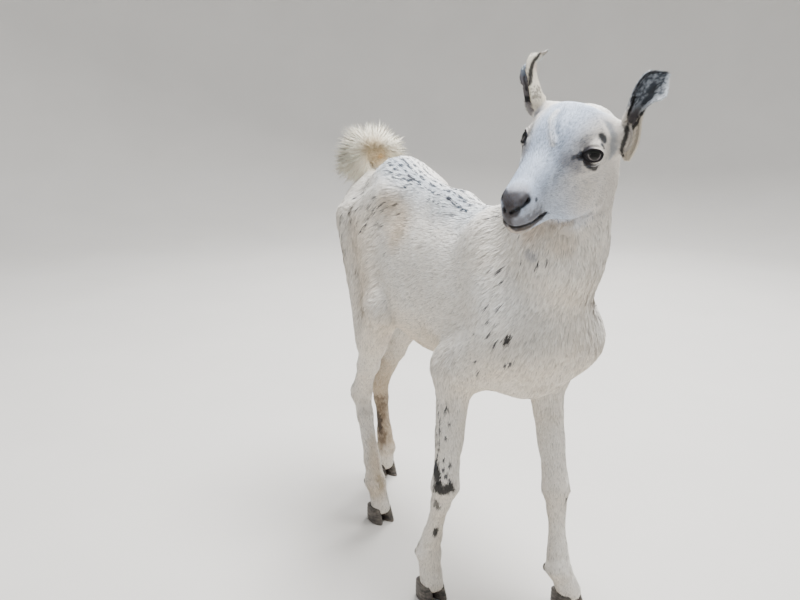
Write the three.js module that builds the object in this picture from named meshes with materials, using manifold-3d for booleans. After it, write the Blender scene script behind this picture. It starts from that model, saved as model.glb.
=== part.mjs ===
// A young short-haired goat, standing, its head turned to its right.
// Millimetres. +X forward, +Y the animal's left, +Z up, floor at z = 0.
// Each piece of flesh is a field of rounded bones, blended, and a shell of rings cast onto that field.
import * as THREE from 'three';
import { LoftGeometry } from 'three/addons/geometries/LoftGeometry.js';
import { mergeVertices } from 'three/addons/utils/BufferGeometryUtils.js';
import Module from 'manifold-3d';

const wasm = await Module();
wasm.setup();

// ---- Driving dimensions -------------------------------------------------------------------

const GAP = 0.3; // clear space between touching pieces
const ORIGIN_SHIFT = [-12, 29, 0]; // puts the origin under the middle of the box
const HOOF_HEIGHT = 23;
const WITHERS_HEIGHT = 499;
const BACK_HEIGHT = 509;
const CROUP_HEIGHT = 536;

// Joints of each leg, from the blade or hip down to the hoof.
const FORE_JOINTS = {
  right: {
    blade: [118, -28, 468],
    shoulder: [190, -44, 366],
    elbow: [100, -60, 318],
    carpus: [104, -72, 170],
    fetlock: [70, -75, 67],
    hoof: [71, -70, HOOF_HEIGHT],
  },
  left: {
    blade: [126, 28, 468],
    shoulder: [190, 42, 364],
    elbow: [116, 57, 305],
    carpus: [153, 56, 163],
    fetlock: [163, 58, 60],
    hoof: [164, 76, HOOF_HEIGHT],
  },
};
const HIND_JOINTS = {
  right: {
    hip: [-165, -41, 460],
    stifle: [-100, -58, 344],
    hock: [-209, -42, 188],
    fetlock: [-157, -43, 65],
    hoof: [-154, -35, HOOF_HEIGHT],
  },
  left: {
    hip: [-178, 41, 460],
    stifle: [-166, 46, 346],
    hock: [-266, 15, 182],
    fetlock: [-286, 37, 57],
    hoof: [-300, 43, HOOF_HEIGHT],
  },
};

// Half thickness of each leg, coat included.
const FORE_GIRTH = {
  blade: 20,
  shoulder: 27,
  elbow: 25,
  forearm: 15,
  carpus: 16,
  cannon: 10.5,
  fetlock: 14.5,
  foot: 15,
};
const HIND_GIRTH = {
  hip: 34,
  ham: 31,
  hamEnd: 20,
  thigh: 27,
  thighEnd: 21,
  stifle: 23,
  gaskin: 13.5,
  hock: 14.5,
  cannon: 10.2,
  fetlock: 14,
  foot: 14,
};
const HAM_TOP = [-66, 0, -12]; // the back of the thigh, from the hip
const HAM_END = [-12, 0, 8]; // and from its place along the gaskin
const THIGH_TOP = [-26, 0, -30]; // the broad muscle between the two, from the hip
const THIGH_END = [-20, 0, 6]; // and from its place along the gaskin

// The head's own axes: the poll, the way the nose points and the animal's left side of the head.
const POLL = [272.2, -18.7, 625.9];
const NOSE_WAY = [0.436, -0.819, -0.374];
const LEFT_WAY = [0.831, 0.526, -0.182];
const EYE_RADIUS = 12.4;
const EYE_PLACE = [60, 30, -16]; // forward of the poll, to the side, up
const HEAD_CENTRE_LINE = [[8, 0, -30], [60, 0, -38], [148, 0, -36]]; // in the same way

// ---- Frames -------------------------------------------------------------------------------

const place = (xyz) => new THREE.Vector3(...xyz);
const nose = place(NOSE_WAY).normalize();
const left = place(LEFT_WAY);
left.addScaledVector(nose, -left.dot(nose)).normalize();
const crown = new THREE.Vector3().crossVectors(nose, left);
const WORLD_AXES = [new THREE.Vector3(1, 0, 0), new THREE.Vector3(0, 1, 0), new THREE.Vector3(0, 0, 1)];
const HEAD_AXES = [nose, left, crown];

/** A point of the head: forward of the poll, to the animal's left, up. */
function onHead(forward, side, up) {
  return place(POLL).addScaledVector(nose, forward).addScaledVector(left, side).addScaledVector(crown, up);
}

// ---- Field of flesh -----------------------------------------------------------------------

/** Signed distance to a bone whose ends are balls of unlike size. */
function boneDistance(p, bone) {
  const axis = bone.axis;
  const length2 = bone.length2;
  const taper = bone.startRadius - bone.endRadius;
  const slope2 = length2 - taper * taper;
  const fromStart = p.clone().sub(bone.start);
  const y = fromStart.dot(axis);
  const z = y - length2;
  const x2 = fromStart.multiplyScalar(length2).addScaledVector(axis, -y).lengthSq();
  const y2 = y * y * length2;
  const z2 = z * z * length2;
  const k = Math.sign(taper) * taper * taper * x2;
  if (Math.sign(z) * slope2 * z2 > k) return Math.sqrt(x2 + z2) / length2 - bone.endRadius;
  if (Math.sign(y) * slope2 * y2 < k) return Math.sqrt(x2 + y2) / length2 - bone.startRadius;
  return (Math.sqrt((x2 * slope2) / length2) + y * taper) / length2 - bone.startRadius;
}

/** Signed distance, near enough, to a ball with its own radius along each of three axes. */
function massDistance(p, mass) {
  const d = p.clone().sub(mass.centre);
  const q = new THREE.Vector3(...mass.axes.map((axis, i) => d.dot(axis) / mass.radii[i]));
  const near = q.length();
  const steep = new THREE.Vector3(...q.toArray().map((c, i) => c / mass.radii[i])).length();
  return steep > 1e-9 ? (near * (near - 1)) / steep : -Math.min(...mass.radii);
}

/** A blended union of bones and masses. */
class Flesh {
  constructor() {
    this.parts = [];
  }
  bone(start, end, startRadius, endRadius, blend) {
    const axis = end.clone().sub(start);
    const length2 = axis.lengthSq();
    this.parts.push({ distance: boneDistance, start, axis, length2, startRadius, endRadius, blend });
    return this;
  }
  mass(centre, radii, blend, axes = WORLD_AXES) {
    this.parts.push({ distance: massDistance, centre, radii, blend, axes });
    return this;
  }
  at(p) {
    let best = Infinity;
    for (const part of this.parts) {
      const d = part.distance(p, part);
      const overlap = Math.max(part.blend - Math.abs(best - d), 0);
      best = Math.min(best, d) - (best < Infinity ? (overlap * overlap) / part.blend / 4 : 0);
    }
    return best;
  }
}

/** How far the flesh reaches from a point inside it along a direction: short steps, then halving. */
function reach(flesh, from, way, offset) {
  const MOST_STEPS = 200;
  const LONGEST_STEP = 6;
  const HALVINGS = 12;
  const depthAt = (far) => offset - flesh.at(from.clone().addScaledVector(way, far));
  let near = 0;
  let far = 1;
  for (let step = 0; step < MOST_STEPS; step += 1) {
    const depth = depthAt(far);
    if (depth < 0) break;
    near = far;
    far += THREE.MathUtils.clamp(depth, 1, LONGEST_STEP);
  }
  for (let half = 0; half < HALVINGS; half += 1) {
    const middle = (near + far) / 2;
    if (depthAt(middle) < 0) far = middle;
    else near = middle;
  }
  return near;
}

// ---- Shells -------------------------------------------------------------------------------

/** One ring cast onto the flesh in the plane of a station, or leaning out of it at a rounded end. */
function castRing(flesh, station, sides, offset, lean = 0) {
  const { centre, along, across } = station;
  const third = new THREE.Vector3().crossVectors(along, across);
  const ring = [];
  for (let i = 0; i < sides; i += 1) {
    const angle = (2 * Math.PI * i) / sides;
    const way = across.clone().multiplyScalar(Math.cos(angle) * Math.cos(lean));
    way.addScaledVector(third, Math.sin(angle) * Math.cos(lean)).addScaledVector(along, Math.sin(lean));
    ring.push(centre.clone().addScaledVector(way, reach(flesh, centre, way, offset)));
  }
  return ring;
}

const END_LEANS = [24, 48, 72]; // degrees

/** Rings cast from every station, with fans of rings at the ends that are rounded. */
function castRings(flesh, stations, sides, offset, ends = {}) {
  const { roundStart = false, roundEnd = false, leans = END_LEANS } = ends;
  const rings = stations.map((station) => castRing(flesh, station, sides, offset));
  const fan = (station, way) =>
    leans.map((lean) => castRing(flesh, station, sides, offset, way * THREE.MathUtils.degToRad(lean)));
  if (roundStart) rings.unshift(...fan(stations[0], -1).reverse());
  if (roundEnd) rings.push(...fan(stations.at(-1), 1));
  return rings;
}

/** The solid inside a closed geometry, faces out. */
function solidOf(geometry) {
  const bare = new THREE.BufferGeometry().setAttribute('position', geometry.getAttribute('position'));
  const merged = mergeVertices(bare.setIndex(geometry.index), 1e-4);
  const index = new Uint32Array(merged.index.array);
  const vertices = new Float32Array(merged.attributes.position.array);
  const solid = new wasm.Manifold(new wasm.Mesh({ numProp: 3, vertProperties: vertices, triVerts: index }));
  if (solid.volume() > 0) return solid;
  for (let i = 0; i < index.length; i += 3) [index[i], index[i + 1]] = [index[i + 1], index[i]];
  return new wasm.Manifold(new wasm.Mesh({ numProp: 3, vertProperties: vertices, triVerts: index }));
}

function lofted(rings) {
  return solidOf(new LoftGeometry(rings, { closed: true, capStart: true, capEnd: true }));
}

/** The largest piece of a cut solid: slivers left by a cut are dropped. */
function mainPiece(solid) {
  const pieces = solid.decompose();
  return pieces.reduce((best, piece) => (piece.volume() > best.volume() ? piece : best));
}

function meshOf(name, solid, material) {
  const { vertProperties, triVerts } = solid.getMesh();
  const geometry = new THREE.BufferGeometry();
  geometry.setAttribute('position', new THREE.BufferAttribute(new Float32Array(vertProperties), 3));
  geometry.setIndex(new THREE.BufferAttribute(new Uint32Array(triVerts), 1));
  geometry.computeVertexNormals();
  const mesh = new THREE.Mesh(geometry, material);
  mesh.name = name;
  return mesh;
}

// ---- Trunk and neck -----------------------------------------------------------------------

const trunkFlesh = new Flesh();
trunkFlesh.mass(place([-15, 0, 397]), [150, 65, 92], 30);
trunkFlesh.mass(place([-45, 0, 384]), [112, 60, 92], 30);
trunkFlesh.mass(place([-120, 0, 432]), [75, 52, 72], 40);
trunkFlesh.mass(place([95, 0, 386]), [100, 60, 98], 50);
trunkFlesh.bone(place([165, 0, 342]), place([195, 0, 372]), 50, 38, 40);
trunkFlesh.bone(place([110, 0, WITHERS_HEIGHT - 22]), place([0, 0, BACK_HEIGHT - 21]), 18, 17, 30);
trunkFlesh.bone(place([0, 0, BACK_HEIGHT - 21]), place([-158, 0, CROUP_HEIGHT - 38]), 17, 36, 35);
trunkFlesh.bone(place([-158, 0, CROUP_HEIGHT - 38]), place([-240, 0, 474]), 36, 38, 40);
for (const side of [-1, 1]) {
  trunkFlesh.bone(place([-238, side * 24, 468]), place([-266, side * 30, 450]), 26, 20, 30);
  trunkFlesh.bone(place([-128, side * 38, 492]), place([-140, side * 44, 484]), 16, 16, 30);
}
trunkFlesh.bone(place([118, 0, 462]), place([180, -1, 520]), 33, 30, 45);
trunkFlesh.bone(place([180, 0, 520]), place([256, -3, 596]), 30, 32, 30);
trunkFlesh.bone(place([185, 0, 400]), place([222, -2, 470]), 52, 38, 50);
trunkFlesh.bone(place([222, -1, 470]), place([252, -5, 548]), 38, 32, 40);

for (const { blade, shoulder, elbow } of Object.values(FORE_JOINTS)) {
  trunkFlesh.bone(place(blade), place(shoulder), FORE_GIRTH.blade, FORE_GIRTH.shoulder, 40);
  trunkFlesh.bone(place(shoulder), place(elbow), FORE_GIRTH.shoulder, FORE_GIRTH.elbow, 30);
}

// Stations of the spine: centre and how far the section's facing is pitched up, in degrees.
const SPINE = [
  [-236, 0, 480, 0],
  [-160, 0, 462, 0],
  [-60, 0, 425, 0],
  [40, 0, 405, 0],
  [95, 0, 405, 8],
  [135, 0, 415, 28],
  [165, 0, 440, 45],
  [195, -1, 480, 55],
  [224, -4, 525, 62],
  [254, -11, 580, 66],
];
const NECK_START = 6;
const RINGS_PER_STATION = 3;
const TRUNK_SIDES = 24;
const spineCurve = new THREE.CatmullRomCurve3(SPINE.map(([x, y, z]) => place([x, y, z])));

/** A station of the spine at a place counted in control stations. */
function spineStation(at) {
  const low = Math.min(Math.floor(at), SPINE.length - 2);
  const pitch = THREE.MathUtils.degToRad(THREE.MathUtils.lerp(SPINE[low][3], SPINE[low + 1][3], at - low));
  const along = new THREE.Vector3(Math.cos(pitch), 0, Math.sin(pitch));
  return { centre: spineCurve.getPoint(at / (SPINE.length - 1)), along, across: WORLD_AXES[1] };
}

function spineStations(from, to) {
  const count = (to - from) * RINGS_PER_STATION;
  return Array.from({ length: count + 1 }, (_, i) => spineStation(from + i / RINGS_PER_STATION));
}

function trunkSolid(offset) {
  const stations = spineStations(0, NECK_START);
  return lofted(castRings(trunkFlesh, stations, TRUNK_SIDES, offset, { roundStart: true }));
}

function neckSolid(offset) {
  const stations = spineStations(NECK_START, SPINE.length - 1);
  const rings = castRings(trunkFlesh, stations, TRUNK_SIDES, offset, { roundEnd: true });
  const away = spineStation(NECK_START).along.clone().multiplyScalar(GAP);
  rings[0].forEach((point) => point.add(away));
  return lofted(rings);
}

// ---- Legs ---------------------------------------------------------------------------------

const between = (a, b, share) => a.clone().lerp(b, share);

function foreFlesh(joints, girth) {
  const { shoulder, elbow, carpus, fetlock, hoof } = joints;
  const armTop = between(elbow, shoulder, 0.5);
  const forearm = between(elbow, carpus, 0.6);
  const cannonTop = between(carpus, fetlock, 0.25);
  const cannonEnd = between(carpus, fetlock, 0.75);
  return new Flesh()
    .bone(armTop, elbow, girth.elbow, girth.elbow, 35)
    .bone(elbow, forearm, girth.elbow - 1, girth.forearm, 18)
    .bone(forearm, carpus, girth.forearm, girth.carpus, 10)
    .bone(carpus, cannonTop, girth.carpus - 1, girth.cannon, 10)
    .bone(cannonTop, cannonEnd, girth.cannon, girth.cannon, 10)
    .bone(cannonEnd, fetlock, girth.cannon, girth.fetlock, 10)
    .bone(fetlock, hoof, girth.fetlock - 1, girth.foot, 10);
}

function hindFlesh(joints, girth) {
  const { hip, stifle, hock, fetlock, hoof } = joints;
  const gaskin = between(stifle, hock, 0.65);
  const hamTop = hip.clone().add(place(HAM_TOP));
  const hamEnd = between(stifle, hock, 0.4).add(place(HAM_END));
  const thighTop = hip.clone().add(place(THIGH_TOP));
  const thighEnd = between(stifle, hock, 0.2).add(place(THIGH_END));
  const cannonTop = between(hock, fetlock, 0.25);
  const cannonEnd = between(hock, fetlock, 0.75);
  return new Flesh()
    .bone(hip, stifle, girth.hip, girth.stifle, 40)
    .bone(hamTop, hamEnd, girth.ham, girth.hamEnd, 40)
    .bone(thighTop, thighEnd, girth.thigh, girth.thighEnd, 30)
    .bone(stifle, gaskin, girth.stifle, girth.gaskin, 25)
    .bone(gaskin, hock, girth.gaskin, girth.hock, 12)
    .bone(hock, cannonTop, girth.hock - 0.5, girth.cannon, 10)
    .bone(cannonTop, cannonEnd, girth.cannon, girth.cannon, 10)
    .bone(cannonEnd, fetlock, girth.cannon, girth.fetlock, 10)
    .bone(fetlock, hoof, girth.fetlock - 1, girth.foot, 10);
}

const LEG_SIDES = 12;

/** Level stations down a leg, spread evenly over each length between joints. */
function legStations(points, counts) {
  const down = new THREE.Vector3(0, 0, -1);
  const stations = [];
  points.slice(1).forEach((end, i) => {
    for (let n = i === 0 ? 0 : 1; n <= counts[i]; n += 1) {
      stations.push({ centre: between(points[i], end, n / counts[i]), along: down, across: WORLD_AXES[0] });
    }
  });
  return stations;
}

const placed = (joints) => Object.fromEntries(Object.entries(joints).map(([k, xyz]) => [k, place(xyz)]));

function makeForeleg(side) {
  const joints = placed(FORE_JOINTS[side]);
  const { shoulder, elbow, carpus, fetlock, hoof } = joints;
  const flesh = foreFlesh(joints, FORE_GIRTH);
  const top = between(elbow, shoulder, 0.45);
  const stations = legStations([top, elbow, carpus, fetlock, hoof], [3, 6, 6, 4]);
  return { joints, flesh, stations };
}

function makeHindleg(side) {
  const joints = placed(HIND_JOINTS[side]);
  const { hip, stifle, hock, fetlock, hoof } = joints;
  const flesh = hindFlesh(joints, HIND_GIRTH);
  const top = hip.clone().add(place([-20, 0, 10]));
  const middle = between(stifle, hock, 0.35).add(place([-6, 0, 0]));
  const thigh = between(hip, stifle, 0.55).add(place([-22, 0, -6]));
  const stations = legStations([top, thigh, middle, hock, fetlock, hoof], [3, 3, 5, 6, 4]);
  return { joints, flesh, stations };
}

const LEGS = {
  front_right: makeForeleg('right'),
  front_left: makeForeleg('left'),
  hind_right: makeHindleg('right'),
  hind_left: makeHindleg('left'),
};

function legSolid({ flesh, stations }, offset) {
  return lofted(castRings(flesh, stations, LEG_SIDES, offset, { roundStart: true }));
}

// ---- Hooves and dewclaws ------------------------------------------------------------------

const CLAW = {
  length: 38,
  topLength: 29,
  width: 17,
  topWidth: 14.5,
  setBack: 5, // how far the coronet sits behind the sole's middle
  spread: 9, // from the foot's middle line to the claw's
  splay: 5, // degrees
  pointed: 0.3, // how much the toe narrows
  innerFlat: 0.9, // the side that faces the other claw is flatter
};
const CLAW_SIDES = 12;
const CLAW_LAYERS = 3;
const MOST_YAW = 0.3;
const YAW_SOFTENING = 20; // keeps a foot that stands straight under its fetlock facing forward

/** One claw: level outlines that grow from the coronet down to the flat sole. */
function clawSolid(leg, side) {
  const { hoof, fetlock } = leg.joints;
  const toe = hoof.clone().sub(fetlock).setZ(0);
  const slant = Math.atan2(toe.y, Math.abs(toe.x) + YAW_SOFTENING);
  const yaw = THREE.MathUtils.clamp(slant / 2, -MOST_YAW, MOST_YAW);
  const turn = yaw + side * THREE.MathUtils.degToRad(CLAW.splay);
  const rings = [];
  for (let layer = 0; layer <= CLAW_LAYERS; layer += 1) {
    const up = layer / CLAW_LAYERS;
    const length = THREE.MathUtils.lerp(CLAW.length, CLAW.topLength, up);
    const width = THREE.MathUtils.lerp(CLAW.width, CLAW.topWidth, up * up);
    const ring = [];
    for (let i = 0; i < CLAW_SIDES; i += 1) {
      const angle = (2 * Math.PI * i) / CLAW_SIDES;
      const ahead = Math.cos(angle);
      const narrow = 1 - CLAW.pointed * Math.max(ahead, 0) ** 2;
      const inner = Math.sin(angle) * side < 0 ? CLAW.innerFlat : 1;
      const x = (length / 2) * ahead - CLAW.setBack * up;
      const y = (width / 2) * Math.sin(angle) * narrow * inner + side * CLAW.spread;
      const z = up * (HOOF_HEIGHT - GAP);
      const point = place([x, y, 0]).applyAxisAngle(WORLD_AXES[2], turn);
      ring.push(point.add(place([hoof.x, hoof.y, z])));
    }
    rings.push(ring);
  }
  return lofted(rings);
}

const DEWCLAW = { behind: 13, apart: 8.5, below: 6, radii: [5, 4.2, 7], lean: 0.5, sides: 8, layers: 5 };

function dewclawSolid(leg, side) {
  const ball = new THREE.SphereGeometry(1, DEWCLAW.sides, DEWCLAW.layers);
  ball.scale(...DEWCLAW.radii);
  ball.rotateY(DEWCLAW.lean);
  const { x, y, z } = leg.joints.fetlock;
  ball.translate(x - DEWCLAW.behind, y + side * DEWCLAW.apart, z - DEWCLAW.below);
  return solidOf(ball);
}

// ---- Head ---------------------------------------------------------------------------------

const headFlesh = new Flesh();
headFlesh.mass(onHead(34, 0, -26), [44, 34, 36], 25, HEAD_AXES);
headFlesh.mass(onHead(54, 0, -12), [36, 33, 28], 20, HEAD_AXES);
for (const side of [-1, 1]) {
  headFlesh.mass(onHead(55.5, side * 25.5, -15), [18.5, 13, 16.5], 10, HEAD_AXES);
  headFlesh.mass(onHead(48, side * 13, -50), [38, 19, 36], 20, HEAD_AXES);
  headFlesh.bone(onHead(6, side * 26, -26), onHead(6, side * 38, -22), 17, 14, 20);
  headFlesh.mass(onHead(34, side * 15, -64), [34, 15, 30], 20, HEAD_AXES);
  headFlesh.bone(onHead(26, side * 14, -15), onHead(8, side * 30, -20), 18, 14, 20);
}
headFlesh.bone(onHead(70, 0, -14), onHead(146, 0, -24), 20, 11.5, 20);
headFlesh.bone(onHead(82, 0, -36), onHead(134, 0, -38), 22, 14.5, 20);
headFlesh.mass(onHead(149, 2.5, -31), [18, 13, 18], 10, HEAD_AXES);
headFlesh.bone(onHead(60, 0, -66), onHead(144, 0, -52), 19, 10.5, 16);

const HEAD_SIDES = 22;
const HEAD_RINGS = 12;
const EYE_SIDES = 14;
const EYE_LAYERS = 10;
const headCurve = new THREE.CatmullRomCurve3(HEAD_CENTRE_LINE.map((point) => onHead(...point)));

function headSolid(offset) {
  const stations = Array.from({ length: HEAD_RINGS }, (_, i) => {
    const centre = headCurve.getPoint(i / (HEAD_RINGS - 1));
    return { centre, along: nose, across: left };
  });
  return lofted(castRings(headFlesh, stations, HEAD_SIDES, offset, { roundStart: true, roundEnd: true }));
}

function eyeSolid(side, grow = 0) {
  const [forward, aside, up] = EYE_PLACE;
  const centre = onHead(forward, side * aside, up);
  const ball = new THREE.SphereGeometry(EYE_RADIUS + grow, EYE_SIDES, EYE_LAYERS);
  return solidOf(ball.translate(...centre.toArray()));
}

// ---- Ears ---------------------------------------------------------------------------------

// Points of each ear's middle line on the head, the way its hollow faces, and its gutter:
// radius and half the opening in degrees, at even steps from the root to the tip.
const EARS = {
  left: {
    line: [[13, 49, -42], [3, 45, -22], [-7, 43, -2], [-16, 48, 17], [-32, 63, 34]],
    hollow: [0.75, 0.45, 0.35],
    gutter: [[5, 150], [8, 130], [9, 116], [8.5, 105], [8, 98], [8, 94], [11, 88], [16.5, 82], [9, 62]],
  },
  right: {
    line: [[6, -36, -14], [-5, -54, 6], [-15, -63, 20], [-34, -60, 31]],
    hollow: [0.5, -0.8, 0.2],
    gutter: [[10, 140], [12, 125], [12, 112], [12, 100], [14, 93], [14.5, 82], [9, 64], [3, 50]],
  },
};
const EAR_THICKNESS = 3;
const EAR_RINGS = 12;
const EAR_ARC_POINTS = 7;

function earProfile(gutter, share) {
  const at = share * (gutter.length - 1);
  const low = Math.min(Math.floor(at), gutter.length - 2);
  return [0, 1].map((i) => THREE.MathUtils.lerp(gutter[low][i], gutter[low + 1][i], at - low));
}

/** The solid of a gutter: each ring runs along its outside and back along its inside. */
function gutterSolid(rings) {
  const around = rings[0].length;
  const last = (rings.length - 1) * around;
  const index = [];
  const quad = (a, b, c, d) => index.push(a, b, c, a, c, d);
  for (let start = 0; start < last; start += around) {
    for (let i = 0; i < around; i += 1) {
      const next = (i + 1) % around;
      quad(start + i, start + next, start + around + next, start + around + i);
    }
  }
  for (let i = 0; i < around / 2 - 1; i += 1) {
    const back = around - 1 - i;
    quad(back, back - 1, i + 1, i);
    quad(last + i, last + i + 1, last + back - 1, last + back);
  }
  return solidOf(new THREE.BufferGeometry().setFromPoints(rings.flat()).setIndex(index));
}

/** A gutter of even thickness along the ear's line, closed at the root and rounded at the tip. */
function earSolid(ear) {
  const curve = new THREE.CatmullRomCurve3(ear.line.map((point) => onHead(...point)));
  const open = new THREE.Vector3();
  ear.hollow.forEach((amount, i) => open.addScaledVector(HEAD_AXES[i], amount));
  const rings = [];
  for (let n = 0; n < EAR_RINGS; n += 1) {
    const share = n / (EAR_RINGS - 1);
    const [radius, halfDegrees] = earProfile(ear.gutter, share);
    const centre = curve.getPoint(share);
    const along = curve.getTangent(share);
    const hollow = open.clone().addScaledVector(along, -open.dot(along)).normalize();
    const aside = new THREE.Vector3().crossVectors(along, hollow);
    const half = THREE.MathUtils.degToRad(halfDegrees);
    const arc = (r) =>
      Array.from({ length: EAR_ARC_POINTS }, (_, i) => {
        const angle = half * ((2 * i) / (EAR_ARC_POINTS - 1) - 1);
        const point = centre.clone().addScaledVector(hollow, radius - r * Math.cos(angle));
        return point.addScaledVector(aside, r * Math.sin(angle));
      });
    const inside = radius - Math.min(EAR_THICKNESS, radius / 2);
    rings.push([...arc(radius), ...arc(inside).reverse()]);
  }
  return gutterSolid(rings);
}

// ---- Tail ---------------------------------------------------------------------------------

const TAIL_ROOT = [-252, 0, 500];
const TAIL_LEAN = [0.449, 0.893]; // the way the curl leans over the croup, forward and to the left
// The tail's middle line: along the lean, up from the root, and half thickness with its hair.
const TAIL_CURL = [
  [-8, 2, 22],
  [-26, 26, 26],
  [-22, 50, 25],
  [2, 62, 20],
  [24, 56, 17],
  [36, 42, 12],
];
const TAIL_BLEND = 12;
const TAIL_CENTRE = [-6, 38]; // middle of the curl, along the lean and up
const TAIL_HOLLOW = { at: [10, 38], radii: [28, 13, 24], blend: 14 }; // the hair that fills the curl
const TAIL_SIDES = 22;
const TAIL_LEANS = [13, 26, 39, 52, 65, 77];

/** A point of the curl: along its lean and up from the root of the tail. */
function onTail(lean, up) {
  return place([TAIL_ROOT[0] + TAIL_LEAN[0] * lean, TAIL_ROOT[1] + TAIL_LEAN[1] * lean, TAIL_ROOT[2] + up]);
}

function tailSolid() {
  const flesh = new Flesh();
  TAIL_CURL.slice(1).forEach(([lean, up, girth], i) => {
    const [lastLean, lastUp, lastGirth] = TAIL_CURL[i];
    flesh.bone(onTail(lastLean, lastUp), onTail(lean, up), lastGirth, girth, TAIL_BLEND);
  });
  const leanWay = place([...TAIL_LEAN, 0]);
  const flat = new THREE.Vector3().crossVectors(WORLD_AXES[2], leanWay);
  const axes = [leanWay, flat, WORLD_AXES[2]];
  flesh.mass(onTail(...TAIL_HOLLOW.at), TAIL_HOLLOW.radii, TAIL_HOLLOW.blend, axes);
  const middle = { centre: onTail(...TAIL_CENTRE), along: flat, across: leanWay };
  const ends = { roundStart: true, roundEnd: true, leans: TAIL_LEANS };
  return lofted(castRings(flesh, [middle], TAIL_SIDES, 0, ends));
}

// ---- Materials and assembly ---------------------------------------------------------------

const finish = (color, roughness) => new THREE.MeshStandardMaterial({ color, roughness, metalness: 0 });
const whiteCoat = () => finish(0xe9e4da, 0.85);
const creamCoat = () => finish(0xe6dcc0, 0.9);
const darkCoat = () => finish(0x8f9196, 0.85);
const horn = () => finish(0x3d3a38, 0.55);
const wetEye = () => finish(0x2a221c, 0.08);

const goat = new THREE.Group();

const headGrown = headSolid(GAP);
const trunkGrown = trunkSolid(GAP);
const neckGrown = neckSolid(GAP);
let trunk = trunkSolid(0);
let neck = neckSolid(0).subtract(headGrown);
let head = headSolid(0);
for (const [name, leg] of Object.entries(LEGS)) {
  const grown = legSolid(leg, GAP);
  trunk = trunk.subtract(grown);
  neck = neck.subtract(grown);
  goat.add(meshOf(`leg_${name}`, legSolid(leg, 0), whiteCoat()));
  const outward = name.endsWith('left') ? 1 : -1;
  for (const [digit, side] of [['outer', outward], ['inner', -outward]]) {
    goat.add(meshOf(`hoof_${name}_${digit}`, clawSolid(leg, side), horn()));
    const dewclaw = mainPiece(dewclawSolid(leg, side).subtract(grown));
    goat.add(meshOf(`dewclaw_${name}_${digit}`, dewclaw, horn()));
  }
}
for (const [name, side] of [['left', 1], ['right', -1]]) {
  head = head.subtract(eyeSolid(side, GAP));
  goat.add(meshOf(`eye_${name}`, eyeSolid(side), wetEye()));
  const ear = earSolid(EARS[name]).subtract(headGrown).subtract(neckGrown);
  goat.add(meshOf(`ear_${name}`, mainPiece(ear), darkCoat()));
}
goat.add(meshOf('trunk', mainPiece(trunk), whiteCoat()));
goat.add(meshOf('neck', mainPiece(neck), whiteCoat()));
goat.add(meshOf('head', mainPiece(head), whiteCoat()));
goat.add(meshOf('tail', mainPiece(tailSolid().subtract(trunkGrown)), creamCoat()));
goat.position.set(...ORIGIN_SHIFT);

export default goat;
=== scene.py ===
"""A young short-haired goat, standing with its head turned to its right, life size.

Metres, +X forward, +Y the animal's left, +Z up, floor at z = 0.  The flesh is a field of
rounded bones and masses blended into one another.  One skin is cast onto that field and lies
under the coat.  Eyes, hooves and dewclaws are pieces of their own, and the coat is joined
tufts of solid mesh that follow the lie of the hair.
"""

from __future__ import annotations

import logging
from dataclasses import dataclass, field
from enum import Enum

import bpy
import numpy as np
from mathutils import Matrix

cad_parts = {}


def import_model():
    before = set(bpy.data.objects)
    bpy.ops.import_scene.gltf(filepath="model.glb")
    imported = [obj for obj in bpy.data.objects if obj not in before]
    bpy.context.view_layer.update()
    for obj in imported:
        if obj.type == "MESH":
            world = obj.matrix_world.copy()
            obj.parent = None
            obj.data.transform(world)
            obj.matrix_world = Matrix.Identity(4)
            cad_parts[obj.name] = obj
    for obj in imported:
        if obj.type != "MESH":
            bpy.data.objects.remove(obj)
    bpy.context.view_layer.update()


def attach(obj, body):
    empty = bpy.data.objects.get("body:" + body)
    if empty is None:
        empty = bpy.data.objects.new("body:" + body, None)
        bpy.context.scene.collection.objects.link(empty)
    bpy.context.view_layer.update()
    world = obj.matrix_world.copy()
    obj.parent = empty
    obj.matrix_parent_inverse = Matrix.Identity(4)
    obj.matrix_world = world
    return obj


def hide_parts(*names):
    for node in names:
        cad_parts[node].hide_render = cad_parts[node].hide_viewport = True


LOG = logging.getLogger("goat")

MM = 0.001
BODY_ORIGIN = np.array([-12.0, 29.0, 0.0])  # millimetres from the body's own origin to the frame's
UP = np.array([0.0, 0.0, 1.0])
FORWARD = np.array([1.0, 0.0, 0.0])
LEFTWARD = np.array([0.0, 1.0, 0.0])


# ---- Small maths ------------------------------------------------------------------------------


def body(*xyz: float) -> np.ndarray:
    """Return a body point given in millimetres as metres of the frame."""
    return (np.array(xyz, float) + BODY_ORIGIN) * MM


def unit(vectors: np.ndarray) -> np.ndarray:
    """Return vectors scaled to length one."""
    length = np.linalg.norm(vectors, axis=-1, keepdims=True)
    return vectors / np.maximum(length, 1e-12)


def smooth_step(low: float, high: float, value: np.ndarray) -> np.ndarray:
    """Return 0 below low, 1 above high and a smooth rise between them."""
    share = np.clip((value - low) / (high - low), 0.0, 1.0)
    return share * share * (3.0 - 2.0 * share)


def bell(distance: np.ndarray, width: float) -> np.ndarray:
    """Return a bell of height one: exp(-(distance / width) squared)."""
    return np.exp(-((distance / width) ** 2))


def linear(hex_code: str) -> np.ndarray:
    """Return the linear colour of an sRGB hex code such as 'E9E4DA'."""
    values = np.array([int(hex_code[i : i + 2], 16) / 255.0 for i in (0, 2, 4)])
    return np.where(values <= 0.04045, values / 12.92, ((values + 0.055) / 1.055) ** 2.4)


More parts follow.
